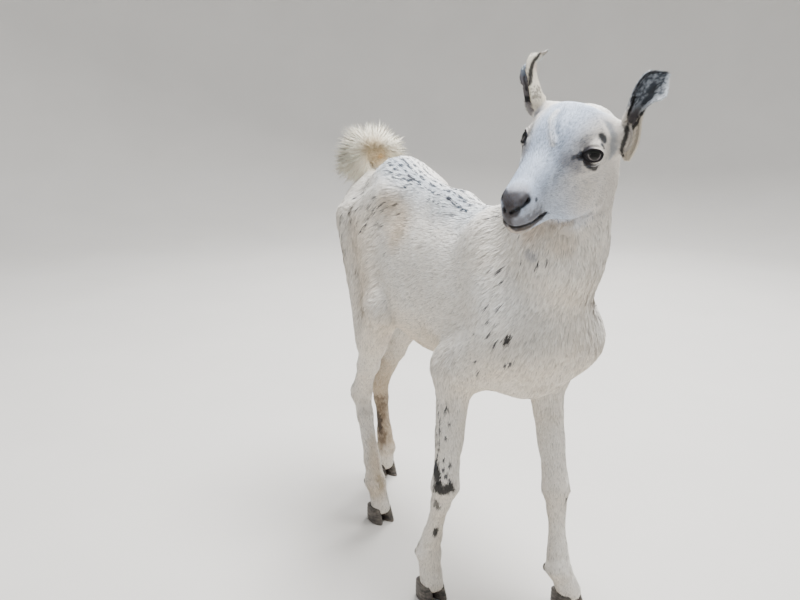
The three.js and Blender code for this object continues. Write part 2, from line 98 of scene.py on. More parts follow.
def curve_points(controls: np.ndarray, count: int) -> np.ndarray:
    """Sample a Catmull-Rom curve through control points at even steps of its parameter.

    Args:
        controls: the points that the curve passes through, one per row.
        count: how many samples to return.

    Returns:
        The samples, one per row: on each span the usual cubic through four neighbours.
    """
    controls = np.asarray(controls, float)
    padded = np.vstack([2 * controls[0] - controls[1], controls, 2 * controls[-1] - controls[-2]])
    at = np.linspace(0.0, len(controls) - 1.0, count)
    low = np.minimum(at.astype(int), len(controls) - 2)
    t = (at - low)[:, None]
    a, b, c, d = (padded[low + i] for i in range(4))
    cubic = (3 * b - a - 3 * c + d) * t**3 + (2 * a - 5 * b + 4 * c - d) * t**2 + (c - a) * t
    return b + 0.5 * cubic


def value_noise(points: np.ndarray, size: float, seed: int) -> np.ndarray:
    """Return smooth noise from -1 to 1: random lattice values, blended across each cell.

    Args:
        points: places in metres, one per row.
        size: the lattice's cell in metres.
        seed: picks the lattice.

    Returns:
        One value per point.
    """
    scaled = points / size + 1000.0
    cell = np.floor(scaled).astype(np.int64)
    share = scaled - cell
    share = share * share * (3.0 - 2.0 * share)
    total = np.zeros(len(points))
    for corner in range(8):
        step = np.array([corner & 1, (corner >> 1) & 1, (corner >> 2) & 1])
        key = cell + step
        mixed = key[:, 0] * 73856093 ^ key[:, 1] * 19349663 ^ key[:, 2] * 83492791 ^ seed * 2654435761
        mixed = (mixed ^ (mixed >> 13)) * 1274126177 & 0x7FFFFFFF
        weight = np.prod(np.where(step == 1, share, 1.0 - share), axis=1)
        total += weight * ((mixed ^ (mixed >> 16)) % 65536 / 32767.5 - 1.0)
    return total


def path_distance(points: np.ndarray, path: np.ndarray) -> tuple[np.ndarray, np.ndarray]:
    """Measure how far points lie from a path of straight lengths.

    Args:
        points: places, one per row.
        path: the path's corners, one per row.

    Returns:
        The distance of each point, and its share along the path from 0 to 1.
    """
    best = np.linalg.norm(points - path[0], axis=1)
    along = np.zeros(len(points))
    for i, (start, end) in enumerate(zip(path[:-1], path[1:])):
        way = end - start
        share = np.clip((points - start) @ way / (way @ way), 0.0, 1.0)
        distance = np.linalg.norm(points - start - share[:, None] * way, axis=1)
        nearer = distance < best
        best[nearer] = distance[nearer]
        along[nearer] = (i + share[nearer]) / (len(path) - 1)
    return best, along


# ---- The head's own axes ----------------------------------------------------------------------


@dataclass(frozen=True)
class HeadFrame:
    """The head's axes: forward along the nose, to the animal's left, and up through the crown."""

    poll: tuple[float, float, float] = (272.2, -18.7, 625.9)
    nose_way: tuple[float, float, float] = (0.436, -0.819, -0.374)
    left_way: tuple[float, float, float] = (0.831, 0.526, -0.182)

    def axes(self) -> np.ndarray:
        """Return forward, left and up as the rows of a matrix."""
        forward = unit(np.array(self.nose_way))
        left = np.array(self.left_way)
        left = unit(left - forward * (left @ forward))
        return np.array([forward, left, np.cross(forward, left)])

    def point(self, forward: float, side: float, up: float) -> np.ndarray:
        """Return a head point given in millimetres as metres of the frame."""
        return body(*self.poll) + np.array([forward, side, up]) * MM @ self.axes()

    def points(self, rows: list | np.ndarray) -> np.ndarray:
        """Return several head points given in millimetres, one per row."""
        return body(*self.poll) + np.asarray(rows, float) * MM @ self.axes()

    def local(self, points: np.ndarray) -> np.ndarray:
        """Return places of the frame as millimetres forward, left and up of the poll."""
        return (points - body(*self.poll)) @ self.axes().T / MM


HEAD = HeadFrame()


class Side(Enum):
    """The animal's sides, with the sign of +Y."""

    LEFT = 1
    RIGHT = -1


# ---- Field of flesh ---------------------------------------------------------------------------


@dataclass
class Bone:
    """A rounded bone with a ball at each end, and the way the hair lies on it."""

    start: np.ndarray
    end: np.ndarray
    start_radius: float
    end_radius: float
    blend: float
    lie: np.ndarray

    def distance(self, points: np.ndarray) -> np.ndarray:
        """Return signed distances to a cone between two balls: exact, negative inside."""
        axis = self.end - self.start
        length2 = axis @ axis
        taper = self.start_radius - self.end_radius
        slope2 = length2 - taper * taper
        from_start = points - self.start
        y = from_start @ axis
        z = y - length2
        x2 = ((from_start * length2 - y[:, None] * axis) ** 2).sum(axis=1)
        y2, z2 = y * y * length2, z * z * length2
        k = np.sign(taper) * taper * taper * x2
        cone = (np.sqrt(x2 * slope2 / length2) + y * taper) / length2 - self.start_radius
        past = np.sign(z) * slope2 * z2 > k
        before = np.sign(y) * slope2 * y2 < k
        ends = np.where(past, np.sqrt(x2 + z2) / length2 - self.end_radius, cone)
        return np.where(before & ~past, np.sqrt(x2 + y2) / length2 - self.start_radius, ends)


@dataclass
class Mass:
    """A ball with its own radius along each of three axes, and the way the hair lies on it."""

    centre: np.ndarray
    radii: np.ndarray
    blend: float
    axes: np.ndarray
    lie: np.ndarray

    def distance(self, points: np.ndarray) -> np.ndarray:
        """Return near enough signed distances to the stretched ball, negative inside."""
        q = (points - self.centre) @ self.axes.T / self.radii
        near = np.linalg.norm(q, axis=1)
        steep = np.linalg.norm(q / self.radii, axis=1)
        return np.where(steep > 1e-9, near * (near - 1.0) / np.maximum(steep, 1e-9), -self.radii.min())


@dataclass
class Flesh:
    """A blended union of bones and masses."""

    parts: list = field(default_factory=list)

    def bone(
        self, start: np.ndarray, end: np.ndarray, radii: tuple, blend: float, lie: np.ndarray | None = None
    ) -> Flesh:
        """Add a rounded bone.

        Args:
            start: its first end in metres.
            end: its last end in metres.
            radii: half thickness at the first and the last end, in millimetres.
            blend: width of the blend with what came before, in millimetres.
            lie: the way the hair lies, or None for along the bone.

        Returns:
            The flesh itself.
        """
        way = unit(end - start) if lie is None else unit(np.asarray(lie, float))
        self.parts.append(Bone(start, end, radii[0] * MM, radii[1] * MM, blend * MM, way))
        return self

    def mass(
        self, centre: np.ndarray, radii: tuple, blend: float, lie: np.ndarray, axes: np.ndarray | None = None
    ) -> Flesh:
        """Add a stretched ball.

        Args:
            centre: its middle in metres.
            radii: its three radii in millimetres.
            blend: width of the blend with what came before, in millimetres.
            lie: the way the hair lies.
            axes: its axes as rows, or None for those of the frame.

        Returns:
            The flesh itself.
        """
        rows = np.eye(3) if axes is None else axes
        self.parts.append(Mass(centre, np.array(radii) * MM, blend * MM, rows, unit(np.asarray(lie, float))))
        return self

    def at(self, points: np.ndarray) -> np.ndarray:
        """Return blended distances: each part lowers the last by its overlap squared over four blends."""
        best = self.parts[0].distance(points)
        for part in self.parts[1:]:
            distance = part.distance(points)
            overlap = np.maximum(part.blend - np.abs(best - distance), 0.0)
            best = np.minimum(best, distance) - overlap * overlap / part.blend / 4.0
        return best

    def lie(self, points: np.ndarray, softness: float = 9 * MM) -> np.ndarray:
        """Return how the hair lies: the parts' ways, each weighed by how near its surface is."""
        distances = np.array([part.distance(points) for part in self.parts])
        weights = np.exp(-(distances - distances.min(axis=0)) / softness)
        return np.einsum("pn,pk->nk", weights, np.array([part.lie for part in self.parts]))

    def box(self, margin: float) -> tuple[np.ndarray, np.ndarray]:
        """Return the lowest and highest corner of all parts, grown by a margin in metres."""
        ends = []
        for part in self.parts:
            if isinstance(part, Bone):
                reach = max(part.start_radius, part.end_radius)
                ends += [part.start - reach, part.start + reach, part.end - reach, part.end + reach]
            else:
                ends += [part.centre - part.radii.max(), part.centre + part.radii.max()]
        return np.min(ends, axis=0) - margin, np.max(ends, axis=0) + margin


def blend_min(first: np.ndarray, second: np.ndarray, width: float) -> np.ndarray:
    """Return the smaller of two distances, rounded where they are within a width of each other."""
    overlap = np.maximum(width - np.abs(first - second), 0.0)
    return np.minimum(first, second) - overlap * overlap / width / 4.0


def reach(flesh: Flesh, origins: np.ndarray, ways: np.ndarray, steps: int = 46) -> np.ndarray:
    """Cast rays from inside the flesh to its surface.

    Args:
        flesh: the field.
        origins: where the rays start, one per row.
        ways: their directions, length one.
        steps: most steps before the halvings.

    Returns:
        The points of the surface: steps of one to six millimetres, then twelve halvings.
    """
    near = np.zeros(len(origins))
    far = np.full(len(origins), 1 * MM)
    live = np.ones(len(origins), bool)
    for _ in range(steps):
        index = np.flatnonzero(live)
        if not len(index):
            break
        depth = -flesh.at(origins[index] + ways[index] * far[index, None])
        out = depth < 0.0
        live[index[out]] = False
        go = index[~out]
        near[go] = far[go]
        far[go] += np.clip(depth[~out], 1 * MM, 6 * MM)
    for _ in range(12):
        middle = (near + far) / 2
        outside = flesh.at(origins + ways * middle[:, None]) > 0.0
        far = np.where(outside, middle, far)
        near = np.where(outside, near, middle)
    return origins + ways * near[:, None]


# ---- Mesh helpers -----------------------------------------------------------------------------


@dataclass
class Surface:
    """Vertices and faces held as whole arrays."""

    vertices: np.ndarray
    triangles: np.ndarray = field(default_factory=lambda: np.zeros((0, 3), int))
    quads: np.ndarray = field(default_factory=lambda: np.zeros((0, 4), int))

    def to_mesh(self, name: str) -> bpy.types.Mesh:
        """Return a smooth-shaded Blender mesh of the faces, made with whole arrays."""
        mesh = bpy.data.meshes.new(name)
        sizes = np.repeat([3, 4], [len(self.triangles), len(self.quads)]).astype(np.int32)
        corners = np.concatenate([self.triangles.ravel(), self.quads.ravel()]).astype(np.int32)
        mesh.vertices.add(len(self.vertices))
        mesh.vertices.foreach_set("co", self.vertices.astype(np.float32).ravel())
        mesh.loops.add(len(corners))
        mesh.loops.foreach_set("vertex_index", corners)
        mesh.polygons.add(len(sizes))
        mesh.polygons.foreach_set("loop_start", np.concatenate([[0], np.cumsum(sizes)[:-1]]).astype(np.int32))
        mesh.polygons.foreach_set("loop_total", sizes)
        mesh.update(calc_edges=True)
        mesh.shade_smooth()
        return mesh


def join_surfaces(surfaces: list[Surface]) -> Surface:
    """Return several surfaces as one, without welding them."""
    offsets = np.cumsum([0] + [len(s.vertices) for s in surfaces])
    return Surface(
        np.vstack([s.vertices for s in surfaces]),
        np.vstack([s.triangles + o for s, o in zip(surfaces, offsets)]),
        np.vstack([s.quads + o for s, o in zip(surfaces, offsets)]),
    )


def ring_quads(rings: np.ndarray) -> tuple[np.ndarray, np.ndarray, np.ndarray]:
    """Number the points of a grid of closed rings and join neighbouring rings.

    Args:
        rings: points on a grid, ring by ring.

    Returns:
        Each point's number, the number of the next point of its ring, and the quads.
    """
    count, around = rings.shape[:2]
    index = np.arange(count * around).reshape(count, around)
    ahead = np.roll(index, -1, axis=1)
    return index, ahead, np.stack([index[:-1], ahead[:-1], ahead[1:], index[1:]], axis=-1).reshape(-1, 4)


def closed_tube(rings: np.ndarray, poles: tuple[np.ndarray, np.ndarray]) -> Surface:
    """Close a grid of rings with a pole at each end.

    Args:
        rings: points on a grid, ring by ring, each running counterclockwise seen from the end.
        poles: the point that closes the first ring and the one that closes the last.

    Returns:
        Quads between neighbouring rings and a fan of triangles at each pole, faces out.
    """
    index, ahead, quads = ring_quads(rings)
    start = np.stack([ahead[0], index[0], np.full_like(index[0], index.size)], axis=-1)
    end = np.stack([index[-1], ahead[-1], np.full_like(index[0], index.size + 1)], axis=-1)
    vertices = np.vstack([rings.reshape(-1, 3), poles[0], poles[1]])
    return Surface(vertices, np.vstack([start, end]), quads)


def cast_tube(
    flesh: Flesh, centres: np.ndarray, along: np.ndarray, across: np.ndarray, sides: int
) -> Surface:
    """Cast a closed shell onto the flesh from a middle line.

    Args:
        flesh: the field.
        centres: stations of the middle line, one per row.
        along: the way each station faces.
        across: a way square to it, where each ring starts.
        sides: points in a ring.

    Returns:
        Rings cast in each station's plane, fans of leaning rings at both ends, and the poles.
    """
    leans = np.radians([18, 36, 54, 72])
    n = len(leans)
    centres, along, across = (
        np.vstack([np.repeat(rows[:1], n, axis=0), rows, np.repeat(rows[-1:], n, axis=0)])
        for rows in (centres, along, across)
    )
    lean = np.zeros(len(centres))
    lean[:n], lean[-n:] = -leans[::-1], leans
    third = np.cross(along, across)
    angle = np.linspace(0.0, 2 * np.pi, sides, endpoint=False)
    ways = (
        across[:, None] * (np.cos(angle)[None] * np.cos(lean)[:, None])[..., None]
        + third[:, None] * (np.sin(angle)[None] * np.cos(lean)[:, None])[..., None]
        + (along * np.sin(lean)[:, None])[:, None]
    )
    origins = np.repeat(centres[:, None], sides, axis=1).reshape(-1, 3)
    rings = reach(flesh, origins, ways.reshape(-1, 3)).reshape(len(centres), sides, 3)
    poles = reach(flesh, centres[[0, -1]], np.array([-along[0], along[-1]]))
    return closed_tube(rings, (poles[0], poles[1]))


def evaluated(
    surface: Surface, name: str, modifiers: list[tuple[str, dict]], weights: np.ndarray | None = None
) -> bpy.types.Mesh:
    """Run modifiers on a surface and return the mesh they leave.

    Args:
        surface: what they work on.
        name: name of the new mesh.
        modifiers: each modifier's type and settings, in order.
        weights: a weight per vertex for a group named 'share', or None.

    Returns:
        The new mesh.
    """
    holder = bpy.data.objects.new(name, surface.to_mesh(name + "_raw"))
    bpy.context.scene.collection.objects.link(holder)
    if weights is not None:
        group = holder.vertex_groups.new(name="share")
        levels = np.round(weights * 8) / 8
        for level in np.unique(levels[levels > 0]):
            group.add(np.flatnonzero(levels == level).tolist(), float(level), "REPLACE")
    for kind, settings in modifiers:
        modifier = holder.modifiers.new(kind.title(), kind)
        for key, value in settings.items():
            setattr(modifier, key, value)
    graph = bpy.context.evaluated_depsgraph_get()
    mesh = bpy.data.meshes.new_from_object(holder.evaluated_get(graph))
    raw = holder.data
    bpy.data.objects.remove(holder)
    bpy.data.meshes.remove(raw)
    mesh.name = name
    return mesh


def read_mesh(mesh: bpy.types.Mesh) -> Surface:
    """Return a mesh's vertices and its faces as triangles."""
    mesh.calc_loop_triangles()
    vertices = np.empty(len(mesh.vertices) * 3, np.float32)
    mesh.vertices.foreach_get("co", vertices)
    triangles = np.empty(len(mesh.loop_triangles) * 3, np.int32)
    mesh.loop_triangles.foreach_get("vertices", triangles)
    return Surface(vertices.reshape(-1, 3).astype(float), triangles.reshape(-1, 3).astype(int))


def vertex_normals(surface: Surface) -> np.ndarray:
    """Return each vertex's normal: the sum of its triangles' cross products, scaled to one."""
    a, b, c = (surface.vertices[surface.triangles[:, i]] for i in range(3))
    cross = np.cross(b - a, c - a)
    total = np.zeros_like(surface.vertices)
    for corner in range(3):
        for axis in range(3):
            total[:, axis] += np.bincount(surface.triangles[:, corner], cross[:, axis], len(total))
    return unit(total)


def signed_volume(surface: Surface) -> float:
    """Return the volume inside a closed surface, negative where its faces point in."""
    triangles = [surface.triangles, surface.quads[:, :3], surface.quads[:, [0, 2, 3]]]
    a, b, c = (surface.vertices[np.vstack(triangles)[:, i]] for i in range(3))
    return float((a * np.cross(b, c)).sum() / 6)


def outward(surface: Surface) -> Surface:
    """Return a closed surface with its faces pointing out."""
    if signed_volume(surface) > 0:
        return surface
    return Surface(surface.vertices, surface.triangles[:, ::-1], surface.quads[:, ::-1])


def laid(ways: np.ndarray, normals: np.ndarray) -> np.ndarray:
    """Return unit ways along the skin: each less its part along the normal, scaled to length one."""
    return unit(ways - normals * (ways * normals).sum(axis=1)[:, None])


def scattered(
    surface: Surface,
    triangles: np.ndarray,
    number: np.ndarray | float,
    values: np.ndarray,
    rng: np.random.Generator,
) -> np.ndarray:
    """Scatter points over triangles and return the values there.

    Args:
        surface: the mesh that the triangles belong to.
        triangles: the corners of those that points fall on.
        number: points per square millimetre, for all or per triangle.
        values: one row per vertex of the mesh.
        rng: the seeded source of chance.

    Returns:
        One row per point: its corners' rows blended by its shares of the triangle.
    """
    a, b, c = (surface.vertices[triangles[:, i]] for i in range(3))
    area = np.linalg.norm(np.cross(b - a, c - a), axis=1) / 2 / MM**2
    owner = np.repeat(np.arange(len(triangles)), (area * number + rng.random(len(triangles))).astype(int))
    share = rng.random((2, len(owner)))
    share = np.where(share.sum(axis=0) > 1, 1 - share, share)
    corners = np.stack([1 - share.sum(axis=0), *share], axis=1)
    return sum(values[triangles[owner, i]] * corners[:, i : i + 1] for i in range(3))


def refined(surface: Surface, marked: np.ndarray) -> Surface:
    """Split the marked triangles in four, and their neighbours so that no gap opens.

    Args:
        surface: a surface of triangles.
        marked: True for each triangle that is split in four.

    Returns:
        The finer surface: each edge of a marked triangle gets its midpoint, and a neighbour
        with one or two such edges is split in two or three.
    """
    corners = surface.triangles
    count = len(surface.vertices)
    pairs = np.sort(np.stack([corners, np.roll(corners, -1, axis=1)], axis=-1), axis=-1)
    key = pairs[..., 0] * count + pairs[..., 1]
    split = np.unique(key[marked])
    hit = np.isin(key, split)
    middle = count + np.searchsorted(split, key)
    low, high = split // count, split % count
    vertices = np.vstack([surface.vertices, (surface.vertices[low] + surface.vertices[high]) / 2])
    made = [corners[hit.sum(axis=1) == 0]]
    full = hit.all(axis=1)
    (a, b, c), (ab, bc, ca) = corners[full].T, middle[full].T
    made += [np.stack(t, axis=1) for t in ((a, ab, ca), (ab, b, bc), (ca, bc, c), (ab, bc, ca))]
    for turn in range(3):
        turned, turned_hit, turned_middle = (np.roll(x, -turn, axis=1) for x in (corners, hit, middle))
        one = turned_hit[:, 0] & ~turned_hit[:, 1] & ~turned_hit[:, 2]
        (a, b, c), ab = turned[one].T, turned_middle[one, 0]
        made += [np.stack(t, axis=1) for t in ((a, ab, c), (ab, b, c))]
        two = turned_hit[:, 0] & turned_hit[:, 1] & ~turned_hit[:, 2]
        (a, b, c), ab, bc = turned[two].T, turned_middle[two, 0], turned_middle[two, 1]
        made += [np.stack(t, axis=1) for t in ((b, bc, ab), (a, ab, bc), (a, bc, c))]
    return Surface(vertices, np.vstack(made))


def edge_pairs(triangles: np.ndarray) -> np.ndarray:
    """Return each edge once as a pair of vertices."""
    pairs = np.vstack([triangles[:, [0, 1]], triangles[:, [1, 2]], triangles[:, [2, 0]]])
    return np.unique(np.sort(pairs, axis=1), axis=0)


def relax(values: np.ndarray, edges: np.ndarray, rounds: int, share: np.ndarray | float) -> np.ndarray:
    """Move each vertex's values towards the mean of its neighbours'.

    Args:
        values: one row per vertex.
        edges: pairs of neighbours.
        rounds: how many times.
        share: how far it moves each time, for all or per vertex.

    Returns:
        The relaxed values.
    """
    count = np.bincount(edges.ravel(), minlength=len(values))[:, None].clip(1)
    part = np.asarray(share, float).reshape(-1, 1)
    for _ in range(rounds):
        total = np.zeros_like(values)
        for axis in range(values.shape[1]):
            total[:, axis] = np.bincount(edges[:, 0], values[edges[:, 1], axis], len(values))
            total[:, axis] += np.bincount(edges[:, 1], values[edges[:, 0], axis], len(values))
        values = values + (total / count - values) * part
    return values


# ---- The body's flesh -------------------------------------------------------------------------

BACKWARD = np.array([-1.0, 0.0, -0.18])
DOWNWARD = np.array([-0.12, 0.0, -1.0])


@dataclass
class TrunkForm:
    """Trunk and neck: barrel, chest, back, croup, hips, neck and shoulders, in millimetres."""

    withers: float = 499.0
    back: float = 509.0
    croup: float = 536.0
    spine: tuple = (
        (-236, 0, 480, 0),
        (-160, 0, 462, 0),
        (-60, 0, 425, 0),
        (40, 0, 405, 0),
        (95, 0, 405, 8),
        (135, 0, 415, 28),
        (165, 0, 440, 45),
        (195, -1, 480, 55),
        (224, -4, 525, 62),
        (254, -11, 580, 66),
    )

    def flesh(self, forelegs: list[ForelegForm]) -> Flesh:
        """Return the field of trunk and neck with the shoulders of both forelegs."""
        made = Flesh()
        ribs = np.array([-1.0, 0.0, -0.32])
        chest = np.array([-0.5, 0.0, -1.0])
        nape = np.array([-0.75, 0.0, -0.66])
        throat = np.array([-0.25, 0.0, -1.0])
        made.mass(body(-15, 0, 397), (150, 65, 92), 30, ribs)
        made.mass(body(-45, 0, 384), (112, 60, 92), 30, ribs)
        made.mass(body(-120, 0, 432), (75, 52, 72), 40, (-1.0, 0.0, -0.45))
        made.mass(body(95, 0, 386), (100, 60, 98), 50, (-0.9, 0.0, -0.5))
        made.bone(body(165, 0, 342), body(195, 0, 372), (50, 38), 40, chest)
        made.bone(body(110, 0, self.withers - 22), body(0, 0, self.back - 21), (18, 17), 30, BACKWARD)
        made.bone(body(0, 0, self.back - 21), body(-158, 0, self.croup - 38), (17, 36), 35, BACKWARD)
        made.bone(body(-158, 0, self.croup - 38), body(-240, 0, 474), (36, 38), 40, (-0.9, 0.0, -0.5))
        for side in (-1, 1):
            made.bone(body(-238, side * 24, 468), body(-266, side * 30, 450), (26, 20), 30, DOWNWARD)
            made.bone(body(-128, side * 38, 492), body(-140, side * 44, 484), (16, 16), 30, (-0.8, 0.0, -0.6))
        made.bone(body(118, 0, 462), body(180, -1, 520), (33, 30), 45, nape)
        made.bone(body(180, 0, 520), body(256, -3, 596), (30, 32), 30, nape)
        made.bone(body(185, 0, 400), body(222, -2, 470), (52, 38), 50, throat)
        made.bone(body(222, -1, 470), body(252, -5, 548), (38, 32), 40, throat)
        for leg in forelegs:
            made.bone(leg.joint("blade"), leg.joint("shoulder"), (20, 27), 40, (-0.75, 0.0, -0.65))
            made.bone(leg.joint("shoulder"), leg.joint("elbow"), (27, 25), 30, (-0.6, 0.0, -0.8))
        return made

    def shell(self, flesh: Flesh) -> Surface:
        """Return a shell cast from the spine: rings square to a curve that pitches up the neck."""
        rows = curve_points(np.array(self.spine, float), 70)
        pitch = np.radians(rows[:, 3])
        along = np.stack([np.cos(pitch), np.zeros(70), np.sin(pitch)], axis=1)
        centres = (rows[:, :3] + BODY_ORIGIN) * MM
        return cast_tube(flesh, centres, along, np.tile(LEFTWARD, (70, 1)), 56)


@dataclass
class LegForm:
    """A leg's joints and half thicknesses, in millimetres."""

    side: Side
    joints: dict[str, tuple[float, float, float]]
    girth: dict[str, float]

    def joint(self, name: str) -> np.ndarray:
        """Return a joint's place in metres."""
        return body(*self.joints[name])

    def between(self, first: str, second: str, share: float) -> np.ndarray:
        """Return the place a share of the way from one joint to another."""
        return self.joint(first) * (1 - share) + self.joint(second) * share

    def lower_leg(self, made: Flesh, knee: str, cannon: float, bulge: float) -> Flesh:
        """Add cannon, fetlock and pastern below the knee or hock to a field.

        Args:
            made: the field that they are added to.
            knee: name of the joint above the cannon.
            cannon: half thickness of the cannon.
            bulge: half thickness just under the knee.

        Returns:
            The field.
        """
        girth = self.girth
        top, end = self.between(knee, "fetlock", 0.25), self.between(knee, "fetlock", 0.75)
        made.bone(self.joint(knee), top, (bulge, cannon), 10)
        made.bone(top, end, (cannon, cannon), 10)
        made.bone(end, self.joint("fetlock"), (cannon, girth["fetlock"]), 10)
        return made.bone(self.joint("fetlock"), self.joint("hoof"), (girth["fetlock"] - 1, girth["foot"]), 10)


class ForelegForm(LegForm):
    """A foreleg from the elbow down."""

    def flesh(self) -> Flesh:
        """Return the field of forearm, knee, cannon and pastern."""
        girth = self.girth
        forearm = self.between("elbow", "carpus", 0.6)
        made = Flesh()
        arm = self.between("elbow", "shoulder", 0.5)
        made.bone(arm, self.joint("elbow"), (girth["elbow"],) * 2, 35, DOWNWARD)
        made.bone(self.joint("elbow"), forearm, (girth["elbow"] - 1, girth["forearm"]), 18)
        made.bone(forearm, self.joint("carpus"), (girth["forearm"], girth["carpus"]), 10)
        return self.lower_leg(made, "carpus", girth["cannon"], girth["carpus"] - 1)

    def line(self) -> np.ndarray:
        """Return the corners of the leg's middle line."""
        names = ("elbow", "carpus", "fetlock", "hoof")
        return np.array([self.between("elbow", "shoulder", 0.45), *map(self.joint, names)])


class HindlegForm(LegForm):
    """A hind leg from the hip down."""

    def flesh(self) -> Flesh:
        """Return the field of thigh, ham, gaskin, hock, cannon and pastern."""
        girth = self.girth
        gaskin = self.between("stifle", "hock", 0.65)
        ham_top = self.joint("hip") + np.array([-66, 0, -12]) * MM
        ham_end = self.between("stifle", "hock", 0.4) + np.array([-12, 0, 8]) * MM
        thigh_top = self.joint("hip") + np.array([-26, 0, -30]) * MM
        thigh_end = self.between("stifle", "hock", 0.2) + np.array([-20, 0, 6]) * MM
        made = Flesh()
        thigh = (girth["hip"], girth["stifle"])
        made.bone(self.joint("hip"), self.joint("stifle"), thigh, 40, (-0.35, 0, -0.9))
        made.bone(ham_top, ham_end, (girth["ham"], girth["ham_end"]), 40, DOWNWARD)
        made.bone(thigh_top, thigh_end, (girth["thigh"], girth["thigh_end"]), 30, (-0.3, 0, -0.9))
        made.bone(self.joint("stifle"), gaskin, (girth["stifle"], girth["gaskin"]), 25)
        made.bone(gaskin, self.joint("hock"), (girth["gaskin"], girth["hock"]), 12)
        return self.lower_leg(made, "hock", girth["cannon"], girth["hock"] - 0.5)

    def line(self) -> np.ndarray:
        """Return the corners of the leg's middle line."""
        top = self.joint("hip") + np.array([-20, 0, 10]) * MM
        thigh = self.between("hip", "stifle", 0.55) + np.array([-22, 0, -6]) * MM
        middle = self.between("stifle", "hock", 0.35) + np.array([-6, 0, 0]) * MM
        return np.array([top, thigh, middle, *map(self.joint, ("hock", "fetlock", "hoof"))])


def leg_shell(leg: ForelegForm | HindlegForm, flesh: Flesh) -> Surface:
    """Return a shell of level rings cast from the leg's middle line."""
    line = leg.line()
    parts = [np.linspace(a, b, 9, endpoint=False) for a, b in zip(line[:-1], line[1:])]
    centres = np.vstack([*parts, line[-1:]])
    down, ahead = np.tile(-UP, (len(centres), 1)), np.tile(FORWARD, (len(centres), 1))
    return cast_tube(flesh, centres, down, ahead, 32)


FORE_GIRTH = {"elbow": 25, "forearm": 15, "carpus": 16, "cannon": 10.5, "fetlock": 14.5, "foot": 15}
HIND_GIRTH = {"hip": 34, "ham": 31, "ham_end": 20, "thigh": 27, "thigh_end": 21, "stifle": 23}
HIND_GIRTH |= {"gaskin": 13.5, "hock": 14.5, "cannon": 10.2, "fetlock": 14, "foot": 14}
FORE_JOINTS = ("blade", "shoulder", "elbow", "carpus", "fetlock", "hoof")
HIND_JOINTS = ("hip", "stifle", "hock", "fetlock", "hoof")
HOOF_HEIGHT = 23.0
LEGS: dict[str, ForelegForm | HindlegForm] = {
    "front_right": ForelegForm(
        Side.RIGHT,
        dict(zip(FORE_JOINTS, (
            (118, -28, 468), (190, -44, 366), (100, -60, 318),
            (104, -72, 170), (70, -75, 67), (71, -70, HOOF_HEIGHT),
        ))),
        FORE_GIRTH,
    ),
    "front_left": ForelegForm(
        Side.LEFT,
        dict(zip(FORE_JOINTS, (
            (126, 28, 468), (190, 42, 364), (116, 57, 305),
            (153, 56, 163), (163, 58, 60), (164, 76, HOOF_HEIGHT),
        ))),
        FORE_GIRTH,
    ),
    "hind_right": HindlegForm(
        Side.RIGHT,
        dict(zip(HIND_JOINTS, (
            (-165, -41, 460), (-100, -58, 344), (-209, -42, 188),
            (-157, -43, 65), (-154, -35, HOOF_HEIGHT),
        ))),
        HIND_GIRTH,
    ),
    "hind_left": HindlegForm(
        Side.LEFT,
        dict(zip(HIND_JOINTS, (
            (-178, 41, 460), (-166, 46, 346), (-266, 15, 182),
            (-286, 37, 57), (-300, 43, HOOF_HEIGHT),
        ))),
        HIND_GIRTH,
    ),
}


@dataclass(frozen=True)
class SkullSide:
    """What differs between the skull's sides: its sign, the orbit's place and two half thicknesses."""

    sign: int
    orbit: float
    ear_root: tuple[float, float]
    temple: tuple[float, float]


@dataclass
class HeadForm:
    """Skull, cheeks, jaw, orbits and muzzle, in millimetres of the head's own axes."""

    middle_line: tuple = ((8, 0, -30), (60, 0, -38), (148, 0, -36))
    sides: tuple[SkullSide, ...] = (
        SkullSide(-1, -23.0, (17, 14), (18, 14)),
        SkullSide(1, 25.5, (13, 10), (17, 10)),
    )

    def way(self, forward: float, side: float, up: float) -> np.ndarray:
        """Return a direction of the head as one of the frame."""
        return np.array([forward, side, up], float) @ HEAD.axes()

    def flesh(self) -> Flesh:
        """Return the field of the head without ears."""
        made = Flesh()
        axes = HEAD.axes()
        at = HEAD.point
        made.mass(at(34, 0, -26), (44, 34, 36), 25, self.way(-1, 0, 0), axes)
        made.mass(at(54, 0, -12), (36, 33, 28), 20, self.way(-0.6, 0, 0.1), axes)
        for skull in self.sides:
            side = skull.sign
            orbit_lie = self.way(-0.7, side * 0.5, -0.3)
            made.mass(at(55.5, skull.orbit, -15), (18.5, 13, 16.5), 10, orbit_lie, axes)
            made.mass(at(48, side * 13, -50), (38, 19, 36), 20, self.way(-0.8, side * 0.1, -0.6), axes)
            ear_lie = self.way(-0.7, side * 0.7, 0)
            made.bone(at(6, side * 26, -26), at(6, side * 38, -22), skull.ear_root, 20, ear_lie)
            made.mass(at(34, side * 15, -64), (34, 15, 30), 20, self.way(-0.7, side * 0.1, -0.7), axes)
            temple_lie = self.way(-0.8, side * 0.5, 0)
            made.bone(at(26, side * 14, -15), at(8, side * 30, -20), skull.temple, 20, temple_lie)
        made.bone(at(70, 0, -14), at(146, 0, -24), (20, 11.5), 20, self.way(-1, 0, 0))
        made.bone(at(82, 0, -36), at(134, 0, -38), (22, 14.5), 20, self.way(-1, 0, -0.25))
        made.mass(at(149, 2.5, -31), (18, 13, 18), 10, self.way(-0.9, 0, -0.3), axes)
        made.bone(at(60, 0, -66), at(144, 0, -52), (19, 10.5), 16, self.way(-1, 0, -0.3))
        return made

    def shell(self, flesh: Flesh) -> Surface:
        """Return a shell cast from the head's middle line, rings square to the nose."""
        centres = HEAD.points(curve_points(np.array(self.middle_line, float), 40))
        axes = HEAD.axes()
        return cast_tube(flesh, centres, np.tile(axes[0], (40, 1)), np.tile(axes[1], (40, 1)), 56)


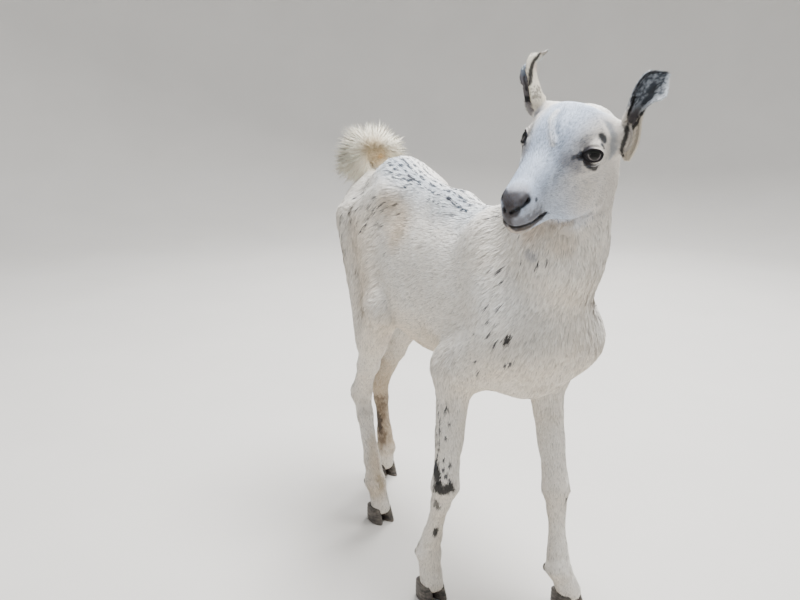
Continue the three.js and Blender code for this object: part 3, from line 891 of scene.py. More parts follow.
@dataclass
class TailForm:
    """The tail curled over the croup: along its lean, up from its root and half thickness."""

    root: tuple[float, float, float] = (-252, 0, 500)
    lean: tuple[float, float] = (0.449, 0.893)
    curl: tuple = ((-8, 2, 16), (-20, 26, 13), (-16, 44, 11), (2, 50, 9), (18, 44, 7), (24, 34, 5))
    hollow: tuple[float, float] = (0, 40)

    def lean_way(self) -> np.ndarray:
        """Return the level way in which the curl leans."""
        return np.array([*self.lean, 0.0])

    def flat_way(self) -> np.ndarray:
        """Return the way square to the plane of the curl."""
        return np.cross(UP, self.lean_way())

    def point(self, lean: float, up: float, out: float = 0.0) -> np.ndarray:
        """Return a point of the curl given in millimetres: along its lean, up and out of its plane."""
        return body(*self.root) + (lean * self.lean_way() + up * UP + out * self.flat_way()) * MM

    def local(self, points: np.ndarray) -> np.ndarray:
        """Return places as millimetres along the lean, up and out of the curl's plane."""
        axes = np.array([self.lean_way(), UP, self.flat_way()])
        return (points - body(*self.root)) @ axes.T / MM

    def flesh(self) -> Flesh:
        """Return the field of the tail under its long hair."""
        made = Flesh()
        for (lean, up, girth), (next_lean, next_up, next_girth) in zip(self.curl[:-1], self.curl[1:]):
            made.bone(self.point(lean, up), self.point(next_lean, next_up), (girth, next_girth), 8)
        return made

    def shell(self, flesh: Flesh) -> Surface:
        """Return a shell of rings square to the curl's line."""
        line = curve_points(np.array([self.point(lean, up) for lean, up, _ in self.curl]), 30)
        along = unit(np.gradient(line, axis=0))
        return cast_tube(flesh, line, along, np.tile(self.flat_way(), (30, 1)), 24)


@dataclass
class EarForm:
    """An ear: a gutter along a curved line, in millimetres of the head's own axes.

    The gutter has a radius and half an opening in degrees at even steps from root to tip.
    """

    line: tuple
    hollow: tuple[float, float, float]
    gutter: tuple
    thickness: float = 3.0

    def frames(self, share: np.ndarray) -> tuple[np.ndarray, ...]:
        """Return the ear's middle line and its axes at shares of its length.

        Args:
            share: places along the ear from root to tip.

        Returns:
            Centres, ways along, ways into the hollow, ways aside, radii and half openings.
        """
        fine = curve_points(HEAD.points(self.line), 201)
        at = share * 200
        low = np.minimum(at.astype(int), 199)
        centres = fine[low] + (fine[low + 1] - fine[low]) * (at - low)[:, None]
        along = unit(np.gradient(fine, axis=0))[low]
        open_way = np.array(self.hollow) @ HEAD.axes()
        hollow = unit(open_way - along * (along @ open_way)[:, None])
        rows = curve_points(np.array(self.gutter, float), 201)[low]
        return centres, along, hollow, np.cross(along, hollow), rows[:, 0] * MM, np.radians(rows[:, 1])

    def sheet(self, share: np.ndarray, turn: np.ndarray, inset: np.ndarray | float) -> np.ndarray:
        """Return points of the ear.

        Args:
            share: place along the ear, 0 at the root and 1 at the tip.
            turn: place across it from -1 to 1.
            inset: how far inside the outer face, in metres.

        Returns:
            The points: an arc of the gutter's radius about its own axis, opening by its half opening.
        """
        centres, _, hollow, aside, radius, half = self.frames(share)
        angle = half * turn
        arm = radius - inset
        inward = hollow * (radius - arm * np.cos(angle))[:, None]
        return centres + inward + aside * (arm * np.sin(angle))[:, None]

    def thickness_at(self, radius: np.ndarray, turn: np.ndarray) -> np.ndarray:
        """Return the blade's thickness in metres: at most half the radius, a quarter less at the rims."""
        return np.minimum(self.thickness * MM, radius * 0.5) * (1.0 - 0.25 * turn**2)

    def near(self, points: np.ndarray) -> np.ndarray:
        """Return True for points within reach of the ear."""
        line = HEAD.points(self.line)
        low, high = line.min(axis=0) - 26 * MM, line.max(axis=0) + 26 * MM
        return ((points > low) & (points < high)).all(axis=1)

    def place(self, points: np.ndarray) -> tuple[np.ndarray, np.ndarray, np.ndarray]:
        """Return where points lie on the ear.

        Args:
            points: places near the ear.

        Returns:
            Share along it, place across it from -1 to 1, and 1 on its inner face or 0 on its
            outer one: each point takes the station whose plane it is nearest to.
        """
        stations = np.linspace(0.0, 1.0, 81)
        centres, along, hollow, aside, radius, half = self.frames(stations)
        offset = points[:, None] - centres[None]
        off_plane = np.abs(np.einsum("nsk,sk->ns", offset, along))
        best = (off_plane + 0.1 * np.linalg.norm(offset, axis=2)).argmin(axis=1)
        offset = offset[np.arange(len(points)), best]
        across = (offset * aside[best]).sum(axis=1)
        depth = radius[best] - (offset * hollow[best]).sum(axis=1)
        turn = np.arctan2(across, depth) / half[best]
        thin = self.thickness_at(radius[best], turn.clip(-1, 1))
        inner = smooth_step(-0.15, 0.15, (radius[best] - thin / 2 - np.hypot(across, depth)) / thin)
        return stations[best], turn, inner

    def shell(self) -> Surface:
        """Return the closed ear: an outer and an inner sheet, thinner at the rims, joined by round rims."""
        lengths, around = 60, 26
        share = np.repeat(np.linspace(0.0, 1.0, lengths), around)
        turn = np.tile(np.sin(np.linspace(-np.pi / 2, np.pi / 2, around)), lengths)
        radius = self.frames(share)[4]
        thin = self.thickness_at(radius, turn)
        outer = self.sheet(share, turn, 0.0).reshape(lengths, around, 3)
        inner = self.sheet(share, turn * 0.97, thin).reshape(lengths, around, 3)
        rings = np.concatenate([outer, inner[:, ::-1]], axis=1)
        return closed_strip(rings)


def closed_strip(rings: np.ndarray) -> Surface:
    """Close a grid of thin rings, each out along one face and back along the other.

    Args:
        rings: points on a grid, ring by ring.

    Returns:
        Quads between the rings, and rungs of quads across the first and the last.
    """
    index, _, quads = ring_quads(rings)
    around = rings.shape[1]
    near = np.arange(around // 2 - 1)
    far = around - 1 - near
    start = np.stack([index[0, far], index[0, far - 1], index[0, near + 1], index[0, near]], axis=-1)
    end = np.stack([index[-1, near], index[-1, near + 1], index[-1, far - 1], index[-1, far]], axis=-1)
    return Surface(rings.reshape(-1, 3), quads=np.vstack([quads, start, end]))


EARS = (
    EarForm(  # left
        ((13, 49, -42), (3, 45, -22), (-7, 43, -2), (-16, 48, 17), (-32, 63, 34)),
        (0.75, 0.45, 0.35),
        (
            (3, 150), (7.5, 130), (9.5, 118), (9.5, 108), (9.2, 102),
            (9.5, 96), (12.5, 90), (15.5, 84), (4.5, 60),
        ),
    ),
    EarForm(  # right
        ((6, -36, -14), (-5, -54, 6), (-15, -63, 20), (-34, -60, 31)),
        (0.5, -0.8, 0.2),
        ((10, 140), (12, 125), (12, 112), (12, 100), (14, 93), (14.5, 82), (9, 64), (3, 50)),
    ),
)


# ---- Skin -------------------------------------------------------------------------------------


@dataclass
class EyeForm:
    """An eye's place in the head and the shape of its opening, as shares of the eyeball's radius."""

    side: Side
    place: tuple[float, float, float] = (60.0, 30.0, -16.0)
    radius: float = 12.4
    outlook: tuple[float, float, float] = (0.60, 0.66, 0.43)
    backward: tuple[float, float, float] = (-20.0, 15.3, -5.6)
    upper: tuple = ((-0.72, 0.0), (-0.52, 0.25), (-0.14, 0.36), (0.38, 0.27), (0.66, 0.04))
    lower: tuple = ((0.66, 0.04), (0.43, -0.27), (-0.04, -0.38), (-0.52, -0.28), (-0.72, 0.0))

    def mirrored(self, row: tuple[float, float, float]) -> tuple[float, float, float]:
        """Return a row of head numbers for this side."""
        return (row[0], row[1] * self.side.value, row[2])

    def centre(self) -> np.ndarray:
        """Return the eyeball's middle in metres."""
        return HEAD.point(*self.mirrored(self.place))

    def axes(self) -> np.ndarray:
        """Return the eye's axes as rows: back along the lids, up across them, and outward."""
        out = unit(np.array(self.mirrored(self.outlook)) @ HEAD.axes())
        back = np.array(self.mirrored(self.backward)) @ HEAD.axes()
        back = unit(back - out * (back @ out))
        lift = np.cross(out, back) * self.side.value
        return np.array([back, lift, out])

    def local(self, points: np.ndarray) -> np.ndarray:
        """Return places as shares of the radius along the eye's axes."""
        return (points - self.centre()) @ self.axes().T / (self.radius * MM)

    def opening(self) -> np.ndarray:
        """Return the lids' margin as a closed curve: two arches that meet in both corners.

        Returns:
            Points back along the lids and up across them, as angles in radians on the ball.
        """
        upper, lower = (curve_points(np.array(arch, float), 30) for arch in (self.upper, self.lower))
        return self.angles(np.vstack([upper, lower[1:-1]]))

    @staticmethod
    def angles(flat: np.ndarray) -> np.ndarray:
        """Return sideways shares of the radius as angles: each keeps its way and turns to its arcsine."""
        share = np.linalg.norm(flat, axis=1).clip(1e-9, 1.0)
        return flat * (np.arcsin(share) / share)[:, None]

    def depth_inside(self, local: np.ndarray) -> np.ndarray:
        """Return how far inside the opening places are seen from the eyeball's middle.

        Args:
            local: places as shares of the radius along the eye's axes.

        Returns:
            The distance to the margin on the ball, positive inside the opening.
        """
        way = local / np.maximum(np.linalg.norm(local, axis=1), 1e-9)[:, None]
        curve = self.opening()
        depth = np.full(len(local), -3.0)
        near = np.flatnonzero((way[:, 2] > 0.02) & (np.linalg.norm(local, axis=1) < 1.8))
        flat = self.angles(way[near, :2])
        distance = path_distance(flat, np.vstack([curve, curve[:1]]))[0]
        ahead = np.roll(curve, -1, axis=0)
        crossed = (curve[None, :, 1] > flat[:, 1:]) != (ahead[None, :, 1] > flat[:, 1:])
        rise = np.where(np.abs(ahead[:, 1] - curve[:, 1]) < 1e-12, 1e-12, ahead[:, 1] - curve[:, 1])
        cut = curve[:, 0] + (flat[:, 1:] - curve[:, 1]) * (ahead[:, 0] - curve[:, 0]) / rise
        within = (crossed & (flat[:, :1] < cut)).sum(axis=1) % 2 == 1
        depth[near] = np.where(within, distance, -distance)
        return depth


@dataclass(frozen=True)
class Crease:
    """A groove, or a ridge where its depth is negative, along a path on the head, in millimetres."""

    path: tuple
    depth: float
    width: float
    both_sides: bool = True

    def depth_at(self, local: np.ndarray) -> np.ndarray:
        """Return how deep the crease is at places of the head: a bell across its path."""
        path = np.array(self.path, float)
        depth = self.depth * bell(path_distance(local, path)[0], self.width)
        if self.both_sides:
            depth += self.depth * bell(path_distance(local, path * [1, -1, 1])[0], self.width)
        return depth


# the slit of the mouth, from the middle of the lips to the cheek
MOUTH_LINE = ((161, -5, -48), (161, 1, -46), (159, 5.6, -45.2), (155, 9.5, -44.7))
MOUTH_LINE += ((149, 12.5, -45.2), (136, 14.5, -47.8))

HEAD_CREASES = (
    # mouth: the slit, the lip's edge above it and the lower lip under it
    Crease((*MOUTH_LINE, (116, 15.5, -53)), 2.4, 1.4),
    Crease(((168, 0, -42), (160, 9, -41), (151, 14, -40.5), (136, 16, -43.5)), -0.9, 2.2),
    Crease(((162, 0, -51), (156, 8, -49.5), (145, 12.5, -51), (130, 14, -54)), -0.8, 2.2),
    # nostril: a slit that curls up and out, its wing above and the lip's swell below
    Crease(((165, 3.6, -28), (160, 8.4, -25), (154, 12.6, -21.5), (152, 13.5, -20)), 3.4, 1.6),
    Crease(((165, 5, -21), (160, 9, -17.5), (154, 11, -14.5), (150, 12, -14)), -1.3, 2.6),
    Crease(((166, 8, -31), (158, 13, -29), (151, 15, -25)), -0.8, 2.6),
    # philtrum
    Crease(((169, 0, -26), (170, 0, -34), (168, 0, -43)), 1.3, 1.1, both_sides=False),
    # cheek: the ridge under the eye, the tear groove, the cheek's front edge and the jaw's edge
    Crease(((98, 20, -20), (80, 31, -27), (58, 36, -31), (30, 40, -30)), -1.4, 4.5),
    Crease(((90, 25, -9), (104, 20, -16), (116, 17, -24)), 0.9, 3.0),
    Crease(((84, 24, -40), (78, 25, -52), (70, 22, -66)), 1.2, 7.0),
    Crease(((10, 24, -74), (30, 27, -86), (56, 22, -88), (80, 16, -80)), -1.0, 6.0),
    # brow: the bony rim above the eye and the hollow behind it
    Crease(((80, 27, 0), (68, 31, 3), (57, 34, 3), (50, 36, -1)), 2.6, 6.0),
    Crease(((40, 34, -4), (30, 37, -10)), -1.5, 8.0),
    # forehead: the ridge of hair from crown to brow
    Crease(((50, -9, 17), (66, -7, 15.5), (80.7, -0.8, 10.6), (91, 6.6, 3.3)), -1.5, 1.6, both_sides=False),
    Crease(((52, -3, 18), (68, -1, 15), (84, 5, 8)), 0.7, 3.0, both_sides=False),
    # throat: the deep fold that runs under the jaw's edge
    Crease(
        (
            (52, -12, -112), (50.6, -3, -109.5), (49.5, 6, -106.5),
            (50, 15, -100), (50, 24, -92), (40, 31, -88),
        ),
        5.0, 4.5, both_sides=False,
    ),
    Crease(((54, 0, -103), (50, 13, -98), (43, 25, -91), (33, 33, -83)), -2.6, 6.0, both_sides=False),
)

# soft upright folds of the neck's loose skin, on the body's own axes
NECK_CREASES = (
    Crease(((268, -24, 494), (262, -26, 450), (250, -28, 410)), 1.6, 4.5, both_sides=False),
    Crease(((270, -14, 496), (264, -14, 455), (254, -14, 420)), -1.2, 4.5, both_sides=False),
    Crease(((272, -4, 493), (266, -2, 458), (256, 2, 425)), 1.2, 5.0, both_sides=False),
    Crease(((262, 20, 480), (252, 24, 440), (236, 30, 405)), 1.2, 6.0, both_sides=False),
)


@dataclass(frozen=True)
class Swell:
    """A swell of bone or muscle, or a hollow where its height is negative, on the body."""

    place: tuple[float, float, float]
    height: float
    width: float
    both_sides: bool = True

    def height_at(self, points: np.ndarray) -> np.ndarray:
        """Return the swell's height in metres: a round bell about its place."""
        height = bell(np.linalg.norm(points - body(*self.place), axis=1), self.width * MM)
        if self.both_sides:
            x, y, z = self.place
            height = height + bell(np.linalg.norm(points - body(x, -y, z), axis=1), self.width * MM)
        return self.height * MM * height


BODY_SWELLS = (
    Swell((-88, 50, 480), -6.0, 26),  # hollow of the flank
    Swell((-70, 48, 440), -2.0, 30),
    Swell((-134, 47, 492), 1.5, 12),  # hip bone
    Swell((-268, 30, 452), 1.5, 12),  # seat bone
    Swell((186, 46, 366), 2.0, 18),  # point of the shoulder
    Swell((150, 46, 420), -2.0, 18),
    Swell((206, 0, 390), -2.5, 16, both_sides=False),  # notch of the breast
    Swell((126, -44, 304), 6.0, 20, both_sides=False),  # inner side of the right forearm
    Swell((140, 66, 296), 4.0, 20, both_sides=False),  # front of the left forearm
    Swell((112, -66, 240), 1.5, 22),  # forearms
    Swell((-175, -50, 250), 1.5, 24, both_sides=False),  # right gaskin
    Swell((-190, -44, 130), 1.2, 30, both_sides=False),  # and cannon
    Swell((-240, 30, 255), 2.0, 26, both_sides=False),  # left gaskin
    Swell((-250, 25, 212), 1.4, 24, both_sides=False),
)


@dataclass
class Skin:
    """The one skin from muzzle to tail: cast, joined, thinned, drawn onto the field and sculpted.

    Lengths about the eyes are shares of the eyeball's radius: where the lids lie, how far they
    reach, and how deep the skin is under the eyeball.  A fold of the lids has a height, a
    distance outside the margin and a width, and may be the upper lid's only.
    """

    trunk: TrunkForm
    head: HeadForm
    tail: TailForm
    ears: tuple[EarForm, ...]
    eyes: tuple[EyeForm, ...]
    voxel: float = 1.5
    kept_faces: float = 0.15
    lid_radius: float = 1.07
    lid_folds: tuple = ((0.04, 0.09, 0.07, False), (-0.045, 0.24, 0.05, False), (0.05, 0.42, 0.13, True))
    lid_reach: float = 0.80
    hollow_radius: float = 0.90

    def __post_init__(self) -> None:
        """Make the fields of flesh once."""
        forelegs = [leg for leg in LEGS.values() if isinstance(leg, ForelegForm)]
        self.trunk_flesh = self.trunk.flesh(forelegs)
        self.head_flesh = self.head.flesh()
        self.leg_flesh = {name: leg.flesh() for name, leg in LEGS.items()}
        self.tail_flesh = self.tail.flesh()
        self.all_flesh = (self.trunk_flesh, *self.leg_flesh.values(), self.head_flesh, self.tail_flesh)

    def coat_depth(self, points: np.ndarray) -> np.ndarray:
        """Return how deep the coat is over the skin, in metres: thin on face and legs."""
        height = points[:, 2] / MM
        depth = 0.5 + 2.5 * smooth_step(250, 350, height)
        local = HEAD.local(points)
        near_head = smooth_step(-55, 5, local[:, 0]) * smooth_step(60, 45, np.abs(local[:, 1]))
        near_head = near_head * (height > 480)
        depth = depth * (1 - near_head) + 0.8 * near_head
        return depth * MM

    def field_at(self, points: np.ndarray) -> np.ndarray:
        """Return the distance to the whole body's skin: all groups blended, less the coat."""
        best = self.trunk_flesh.at(points)
        groups = [(flesh, 16 * MM) for flesh in self.leg_flesh.values()]
        groups += [(self.head_flesh, 14 * MM), (self.tail_flesh, 12 * MM)]
        for flesh, width in groups:
            low, high = flesh.box(30 * MM)
            inside = np.flatnonzero(((points > low) & (points < high)).all(axis=1))
            if len(inside):
                best[inside] = blend_min(best[inside], flesh.at(points[inside]), width)
        return best + self.coat_depth(points)

    def gradient_at(self, points: np.ndarray) -> np.ndarray:
        """Return the field's slope: four samples at the corners of a small tetrahedron."""
        corners = np.array([[1, 1, 1], [1, -1, -1], [-1, 1, -1], [-1, -1, 1]], float)
        step = 0.3 * MM
        slope = sum(corner * self.field_at(points + corner * step)[:, None] for corner in corners)
        return slope / (4 * step)

    def drawn(self, points: np.ndarray, loose: np.ndarray, rounds: int = 4) -> np.ndarray:
        """Draw points onto the skin's level of the field.

        Args:
            points: places near the skin.
            loose: from 0 to 1, how much of the way each goes.
            rounds: how many Newton steps.

        Returns:
            The drawn points: each step goes against the slope by the distance over its square.
        """
        for _ in range(rounds):
            distance = self.field_at(points)
            slope = self.gradient_at(points)
            step = distance / np.maximum((slope**2).sum(axis=1), 0.25)
            points = points - slope * (np.clip(step, -6 * MM, 6 * MM) * loose)[:, None]
        return points

    def raw_shells(self) -> Surface:
        """Return all the shells, overlapping, before they are joined into one skin."""
        shells = [self.trunk.shell(self.trunk_flesh), self.head.shell(self.head_flesh)]
        shells += [leg_shell(leg, self.leg_flesh[name]) for name, leg in LEGS.items()]
        shells += [self.tail.shell(self.tail_flesh), *(ear.shell() for ear in self.ears)]
        return join_surfaces(shells)

    def ear_share(self, points: np.ndarray) -> np.ndarray:
        """Return 1 on the ears' own blades and 0 on the skin that the field describes."""
        share = np.zeros(len(points))
        distance = self.field_at(points)
        ahead, aside, up = HEAD.local(points).T
        near = (np.abs(aside) > 30) & (np.abs(aside) < 90) & (ahead < 30) & (ahead > -60)
        near &= (up > -45) & (up < 80) & (points[:, 2] > 560 * MM)
        share[near] = smooth_step(1.5 * MM, 5.0 * MM, np.abs(distance[near]))
        return share

    def head_share(self, points: np.ndarray) -> np.ndarray:
        """Return 1 on the head and 0 on the neck and body."""
        local = HEAD.local(points)
        near = smooth_step(-12, 14, local[:, 0]) * (np.abs(local[:, 1]) < 60) * (points[:, 2] > 470 * MM)
        return near * smooth_step(-118, -92, local[:, 2])

    def tail_share(self, points: np.ndarray) -> np.ndarray:
        """Return 1 on the curl of the tail and 0 on the rump."""
        lean, up, out = self.tail.local(points).T
        near = (np.abs(lean) < 60) & (np.abs(out) < 40) & (points[:, 0] < -200 * MM)
        return smooth_step(4, 18, up + 0.25 * lean) * near

    def part_at(self, points: np.ndarray) -> np.ndarray:
        """Return the nearest part of each point: 0 trunk, 1 to 4 legs, 5 head, 6 tail."""
        return np.array([part.at(points) for part in self.all_flesh]).argmin(axis=0)

    def lie_at(self, surface: Surface) -> np.ndarray:
        """Return how the hair lies at each vertex of the skin.

        Args:
            surface: the skin's mesh.

        Returns:
            Unit ways along the skin: the parts' own, weighed by nearness and relaxed over it;
            on the ears from root to tip, spreading a little towards the rims.
        """
        points, normals = surface.vertices, vertex_normals(surface)
        distances = np.array([part.at(points) for part in self.all_flesh])
        weights = np.exp(-(distances - distances.min(axis=0)) / (9 * MM))
        ways = np.einsum("pn,pnk->nk", weights, np.array([unit(part.lie(points)) for part in self.all_flesh]))
        share = self.ear_share(points)[:, None]
        for ear in self.ears:
            near = np.flatnonzero(ear.near(points) & (share[:, 0] > 0.02))
            along, turn, _ = ear.place(points[near])
            _, way, _, aside, _, _ = ear.frames(along)
            ear_way = unit(way + 0.35 * turn.clip(-1, 1)[:, None] * aside)
            ways[near] = unit(ways[near]) * (1 - share[near]) + ear_way * share[near]
        edges = edge_pairs(surface.triangles)
        for _ in range(4):
            ways = relax(laid(ways, normals), edges, 6, 0.6)
        return laid(ways, normals)

    def fine_share(self, points: np.ndarray) -> np.ndarray:
        """Return 1 where the skin keeps all its faces: head and ears."""
        local = HEAD.local(points)
        near = smooth_step(-70, -45, local[:, 0]) * smooth_step(-120, -100, local[:, 2])
        return near * (points[:, 2] > 520 * MM) * (np.abs(local[:, 1]) < 95)

    def build_shape(self) -> Surface:
        """Return the finished skin.

        Returns:
            Shells joined by a voxel mesh, thinned away from the head, drawn onto the field,
            relaxed at the ears' roots, made finer about eyes, nose and mouth, and sculpted.
        """
        shells = self.raw_shells()
        settings = {"mode": "VOXEL", "voxel_size": self.voxel * MM, "use_smooth_shade": True}
        joined = read_mesh(evaluated(shells, "joined", [("REMESH", settings)]))
        LOG.info("joined skin has %d triangles", len(joined.triangles))
        weights = 1.0 - self.fine_share(joined.vertices)
        target = {"ratio": self.kept_faces, "vertex_group": "share", "vertex_group_factor": 10.0}
        thin = read_mesh(evaluated(joined, "thinned", [("DECIMATE", target)], weights))
        LOG.info("thinned skin has %d triangles", len(thin.triangles))
        edges = edge_pairs(thin.triangles)
        share = self.ear_share(thin.vertices)
        share = relax(share[:, None], edges, 3, 0.5)[:, 0]
        points = relax(thin.vertices, edges, 3, 0.35 * smooth_step(0.4, 0.9, share))
        thin.vertices = self.drawn(points, 1.0 - share)
        root = bell((share - 0.5) / 0.5, 0.8) * (share > 0.02)
        thin.vertices = relax(thin.vertices, edges, 8, 0.5 * root)
        return self.sculpted(self.finer(thin))

    def finer(self, surface: Surface) -> Surface:
        """Return the skin with smaller faces about eyes, nose and mouth."""
        for level, (eye_reach, muzzle_start) in enumerate(((2.1, 112.0), (1.35, 200.0))):
            middles = surface.vertices[surface.triangles].mean(axis=1)
            marked = HEAD.local(middles)[:, 0] > muzzle_start
            for eye in self.eyes:
                local = eye.local(middles)
                flat = np.hypot(local[:, 0] * (0.8, 1.0)[level], local[:, 1])
                marked |= (flat < eye_reach * (1.0, 0.85)[level]) & (local[:, 2] > 0) & (local[:, 2] < 2.4)
            surface = refined(surface, marked)
        local = HEAD.local(surface.vertices)
        head = np.flatnonzero((local[:, 0] > 25) & (np.abs(local[:, 1]) < 50) & (local[:, 2] > -110))
        surface.vertices[head] = self.drawn(surface.vertices[head], np.ones(len(head)), 2)
        return surface

    def sculpted(self, surface: Surface) -> Surface:
        """Return the skin with its creases, swells and lids, each moved along the skin's own normal."""
        normals = vertex_normals(surface)
        local = HEAD.local(surface.vertices)
        head = np.flatnonzero((local[:, 0] > 0) & (np.abs(local[:, 1]) < 60) & (local[:, 2] > -130))
        depth = sum(crease.depth_at(local[head]) for crease in HEAD_CREASES)
        surface.vertices[head] -= normals[head] * (depth * MM)[:, None]
        neck = np.flatnonzero((surface.vertices[:, 0] > 200 * MM) & (surface.vertices[:, 2] < 520 * MM))
        place = surface.vertices[neck] / MM - BODY_ORIGIN
        depth = sum(crease.depth_at(place) for crease in NECK_CREASES)
        surface.vertices[neck] -= normals[neck] * (depth * MM)[:, None]
        swell = sum(swell.height_at(surface.vertices) for swell in BODY_SWELLS)
        surface.vertices += normals * swell[:, None]
        for eye in self.eyes:
            surface.vertices = self.lidded(surface.vertices, eye)
        return surface

    def lidded(self, points: np.ndarray, eye: EyeForm) -> np.ndarray:
        """Return the skin with one eye's lids.

        Args:
            points: the skin's vertices.
            eye: the eye that the lids go round.

        Returns:
            The points, each on its own ray from the eyeball's middle: under the eyeball inside
            the opening, a steep margin at its edge, a rounded lid outside, a fold above the
            upper lid and one below the lower, and the head's own surface further out.
        """
        local = eye.local(points)
        far = np.linalg.norm(local, axis=1)
        index = np.flatnonzero((far < 1.8) & (local[:, 2] > 0.03))
        way = local[index] / far[index, None]
        inside = eye.depth_inside(local[index])
        above = smooth_step(-0.1, 0.2, way[:, 1])
        lid = self.lid_radius
        for height, away, width, upper_only in self.lid_folds:
            lid = lid + height * bell(inside + away, width) * (above if upper_only else 1.0)
        share = smooth_step(-self.lid_reach, -0.14, inside)
        radius = far[index] * (1 - share) + lid * share
        radius = radius + (self.hollow_radius - radius) * smooth_step(-0.012, 0.05, inside)
        points = points.copy()
        points[index] = eye.centre() + way @ eye.axes() * (radius * eye.radius * MM)[:, None]
        return points


# ---- Materials --------------------------------------------------------------------------------


class Look:
    """One node material, built with a single helper for its nodes and links."""

    def __init__(self, name: str) -> None:
        """Start a material with a principled shader wired to its output."""
        self.material = bpy.data.materials.new(name)
        self.material.use_nodes = True
        self.tree = self.material.node_tree
        self.tree.nodes.clear()
        self.shader = self.add("ShaderNodeBsdfPrincipled")
        self.add("ShaderNodeOutputMaterial", Surface=self.shader)

    def add(self, kind: str, settings: dict | None = None, **inputs: object) -> bpy.types.Node:
        """Add a node.

        Args:
            kind: the node's type.
            settings: its own properties.
            inputs: values or nodes for its sockets, by name with underscores for spaces;
                a node stands for its first output, and a pair names the output.

        Returns:
            The node.
        """
        node = self.tree.nodes.new(kind)
        for key, value in (settings or {}).items():
            setattr(node, key, value)
        for key, value in inputs.items():
            self.join(node, key.replace("_", " "), value)
        return node

    def join(self, node: bpy.types.Node, socket: str, value: object) -> None:
        """Set a socket to a value, or link it to a node or to a (node, output) pair."""
        numbered = socket[0] == "i" and socket[1:].isdigit()
        target = node.inputs[int(socket[1:]) if numbered else socket]
        if isinstance(value, bpy.types.Node):
            self.tree.links.new(value.outputs[0], target)
        elif isinstance(value, tuple) and isinstance(value[0], bpy.types.Node):
            self.tree.links.new(value[0].outputs[value[1]], target)
        else:
            target.default_value = value


def colour4(hex_code: str) -> tuple[float, float, float, float]:
    """Return a linear colour with alpha from an sRGB hex code."""
    return (*linear(hex_code), 1.0)


@dataclass(frozen=True)
class SkinFinish:
    """The hide under the coat: the coat's colours, marks and painted shade alike, and a fine nap about a
    millimetre across.
    """

    name: str = "hide_short_hair"
    roughness: float = 0.72
    specular: float = 0.25
    nap_mm: float = 0.9

    def material(self) -> bpy.types.Material:
        """Return the material."""
        look = Look(self.name)
        tint = look.add("ShaderNodeAttribute", {"attribute_name": "tint"})
        place = look.add("ShaderNodeTexCoord")
        # clumps of fine hair, about a millimetre across: soft light and dark between them
        scale = 1.0 / (self.nap_mm * MM)
        nap = look.add("ShaderNodeTexNoise", Vector=(place, "Object"), Scale=scale, Detail=3.0)
        shade = look.add("ShaderNodeMapRange", Value=nap, i3=0.82, i4=1.12)
        mixed = look.add("ShaderNodeVectorMath", {"operation": "SCALE"}, Vector=tint, Scale=shade)
        look.join(look.shader, "Base Color", mixed)
        bump = look.add("ShaderNodeBump", Height=nap, Distance=0.4 * MM, Strength=0.6)
        look.join(look.shader, "Normal", bump)
        look.join(look.shader, "Roughness", self.roughness)
        look.join(look.shader, "Specular IOR Level", self.specular)
        return look.material


@dataclass(frozen=True)
class HairFinish:
    """Short dry hair: each tuft in its own tone, soft gloss."""

    name: str = "hair_short_dry"
    roughness: float = 0.62
    specular: float = 0.3

    def material(self) -> bpy.types.Material:
        """Return the material."""
        look = Look(self.name)
        tint = look.add("ShaderNodeAttribute", {"attribute_name": "tint"})
        look.join(look.shader, "Base Color", tint)
        look.join(look.shader, "Roughness", self.roughness)
        look.join(look.shader, "Specular IOR Level", self.specular)
        return look.material


@dataclass(frozen=True)
class HornFinish:
    """Hoof horn: dark grey with growth rings, duller and paler in dusty patches."""

    name: str = "hoof_horn"
    base: str = "35312E"
    pale: str = "6E675F"
    polished: float = 0.38
    dusty: float = 0.68
    ring_mm: float = 2.6

    def material(self) -> bpy.types.Material:
        """Return the material."""
        look = Look(self.name)
        place = look.add("ShaderNodeTexCoord")
        scale = (60.0, 60.0, 1.0 / (self.ring_mm * MM))
        stretch = look.add("ShaderNodeMapping", Vector=(place, "Object"), Scale=scale)
        # growth rings run level round the claw
        rings = look.add("ShaderNodeTexNoise", Vector=stretch, Scale=1.0, Detail=2.0)
        # dust and scuffs in patches of about four millimetres
        dust = look.add("ShaderNodeTexNoise", Vector=(place, "Object"), Scale=240.0, Detail=4.0)
        both = look.add("ShaderNodeMath", {"operation": "MULTIPLY"}, i0=rings, i1=dust)
        share = look.add("ShaderNodeMapRange", Value=both, i1=0.14, i2=0.42)
        tones = {"i6": colour4(self.base), "i7": colour4(self.pale)}
        tone = look.add("ShaderNodeMix", {"data_type": "RGBA"}, Factor=share, **tones)
        look.join(look.shader, "Base Color", (tone, 2))
        bump = look.add("ShaderNodeBump", Height=rings, Distance=0.5 * MM, Strength=0.7)
        look.join(look.shader, "Normal", bump)
        # dusty patches are duller
        dull = look.add("ShaderNodeMapRange", Value=dust, i3=self.polished, i4=self.dusty)
        look.join(look.shader, "Roughness", dull)
        return look.material


